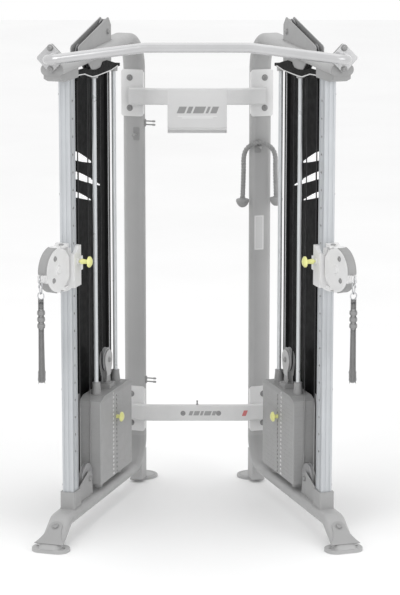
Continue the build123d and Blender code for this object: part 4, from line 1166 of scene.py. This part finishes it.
def beam_bars(bm):
    bar_row(bm, (0.016, 0.024, 0.012, 0.030, 0.016), 0.006, 0.020, 0.007, -0.040, 0.3400, BEAM_FRONT, 0.0005)


def beam_tab(bm):
    raised(bm, slanted(0.018, 0.026, 0.009, 0.205, 0.3370), BEAM_FRONT, 0.0005)


def beam_fittings(bm):
    """Two bolts on the lower beam's front, and a small peg on its top."""
    for x in (-0.065, 0.098):
        bolt_head(bm, (x, BEAM_FRONT, 0.350), (0, -1, 0), radius=0.0085, height=0.0060)
    lathe(bm, [(0, 0), (0.0060, 0), (0.0060, 0.0020), (0.0035, 0.0030), (0.0030, 0.0140), (0.0042, 0.0150),
               (0.0042, 0.0190), (0, 0.0205)], (0, BEAM_FRONT + 0.014, 0.3875), UP, 20)


single("beam_bars", beam_bars, BOLT, "frame", "cast_paint")
single("beam_tab", beam_tab, RED, "frame", "cast_paint")
single("beam_fittings", beam_fittings, BOLT, "frame", "dark_steel", smooth=40)

# ---- blank plates, fork tips, peg tips and welds
COLUMN_FACE, LABEL_CENTRE, LABEL_PROUD = 0.836, (0.0110, 1.184), 0.0008


def column_plate(bm):
    raised(bm, rounded(0.046, 0.160, 0.004, 3, LABEL_CENTRE), COLUMN_FACE, LABEL_PROUD)


def column_plate_border(bm):
    outer = rounded(0.038, 0.152, 0.003, 3, LABEL_CENTRE)
    inner = rounded(0.035, 0.149, 0.002, 3, LABEL_CENTRE)
    base, top = COLUMN_FACE - LABEL_PROUD, COLUMN_FACE - 0.0012
    rings = [
        [bm.verts.new((n, s, z)) for n, z in outline]
        for outline, s in ((outer, base), (inner, base), (inner, top), (outer, top))
    ]
    bridge(bm, rings, closed=True)


single("column_plate", column_plate, LABEL, "frame", "cast_paint", tower(1))
single("column_plate_border", column_plate_border, MARK, "frame", "cast_paint", tower(1))


FORK_TIP = [(0.003, -0.01), (0.0042, -0.01), (0.0046, -0.008), (0.0046, 0.001), (0.003, 0.0035), (0, 0.004)]
PEG_TIP = [(0.005, -0.01), (0.0064, -0.01), (0.007, -0.008), (0.007, 0.001), (0.005, 0.0045), (0, 0.0055)]


def fork_tips(bm):
    for z in (0.494, 1.686):
        for way in (-1, 1):
            lathe(bm, FORK_TIP, (0.096, 0.861, z + way * 0.008), (1, 0, 0), 16)


def peg_tip(height):
    return lambda bm: lathe(bm, PEG_TIP, (0.0187, 0.785, height), (0, -1, 0), 20)


single("fork_tips", fork_tips, RUBBER, "frame", "rubber_grey", tower(-1))
single("peg_tip_left", peg_tip(1.638), RUBBER, "frame", "rubber_grey", tower(-1))
single("peg_tip_right", peg_tip(1.581), RUBBER, "frame", "rubber_grey", tower(1))


# width, depth and corner radius of the welded section, then its place
WELDS = ((0.066, 0.090, 0.008, 0.001, 0.125), (0.060, 0.076, 0.012, 0.893, 0.012))


def weld_beads(bm):
    """Rippled fillets round the socket's foot and the rear post's foot."""
    for width, depth, corner, s, z in WELDS:
        outline = [Vector((p, q, z)) for p, q in rounded(width, depth, corner, 4, (0, s))]
        outline.append(outline[0])
        points = walk(outline, 0.0016)[0][:-1]
        rings = []
        for k, point in enumerate(points):
            ripple = 0.0030 + 0.0004 * math.sin(k * 1.9) + random.uniform(-0.0002, 0.0002)
            away = (point - Vector((0, s, z))).normalized()
            rings.append([
                bm.verts.new(point + away * (ripple * math.cos(t)) + Vector((0, 0, ripple * math.sin(t))))
                for t in (math.radians(a) for a in (-20, 15, 50, 85, 120))
            ] + [bm.verts.new(point - away * 0.002 - Vector((0, 0, 0.001)))])
        bridge(bm, rings, closed=True)


on_both("weld_beads", weld_beads, FRAME_DARK, "frame", "frame_paint", smooth=60)


def disc_rings(bm):
    """A raised ring on each rear foot's disc."""
    lathe(bm, [(0.0545, 0.0115), (0.0535, 0.0138), (0.0500, 0.0138), (0.0490, 0.0115)],
          (0, 0.968, 0), UP, 48, open_ends=True)


on_both("rear_foot_rings", disc_rings, RUBBER, "frame", "rubber_grey")
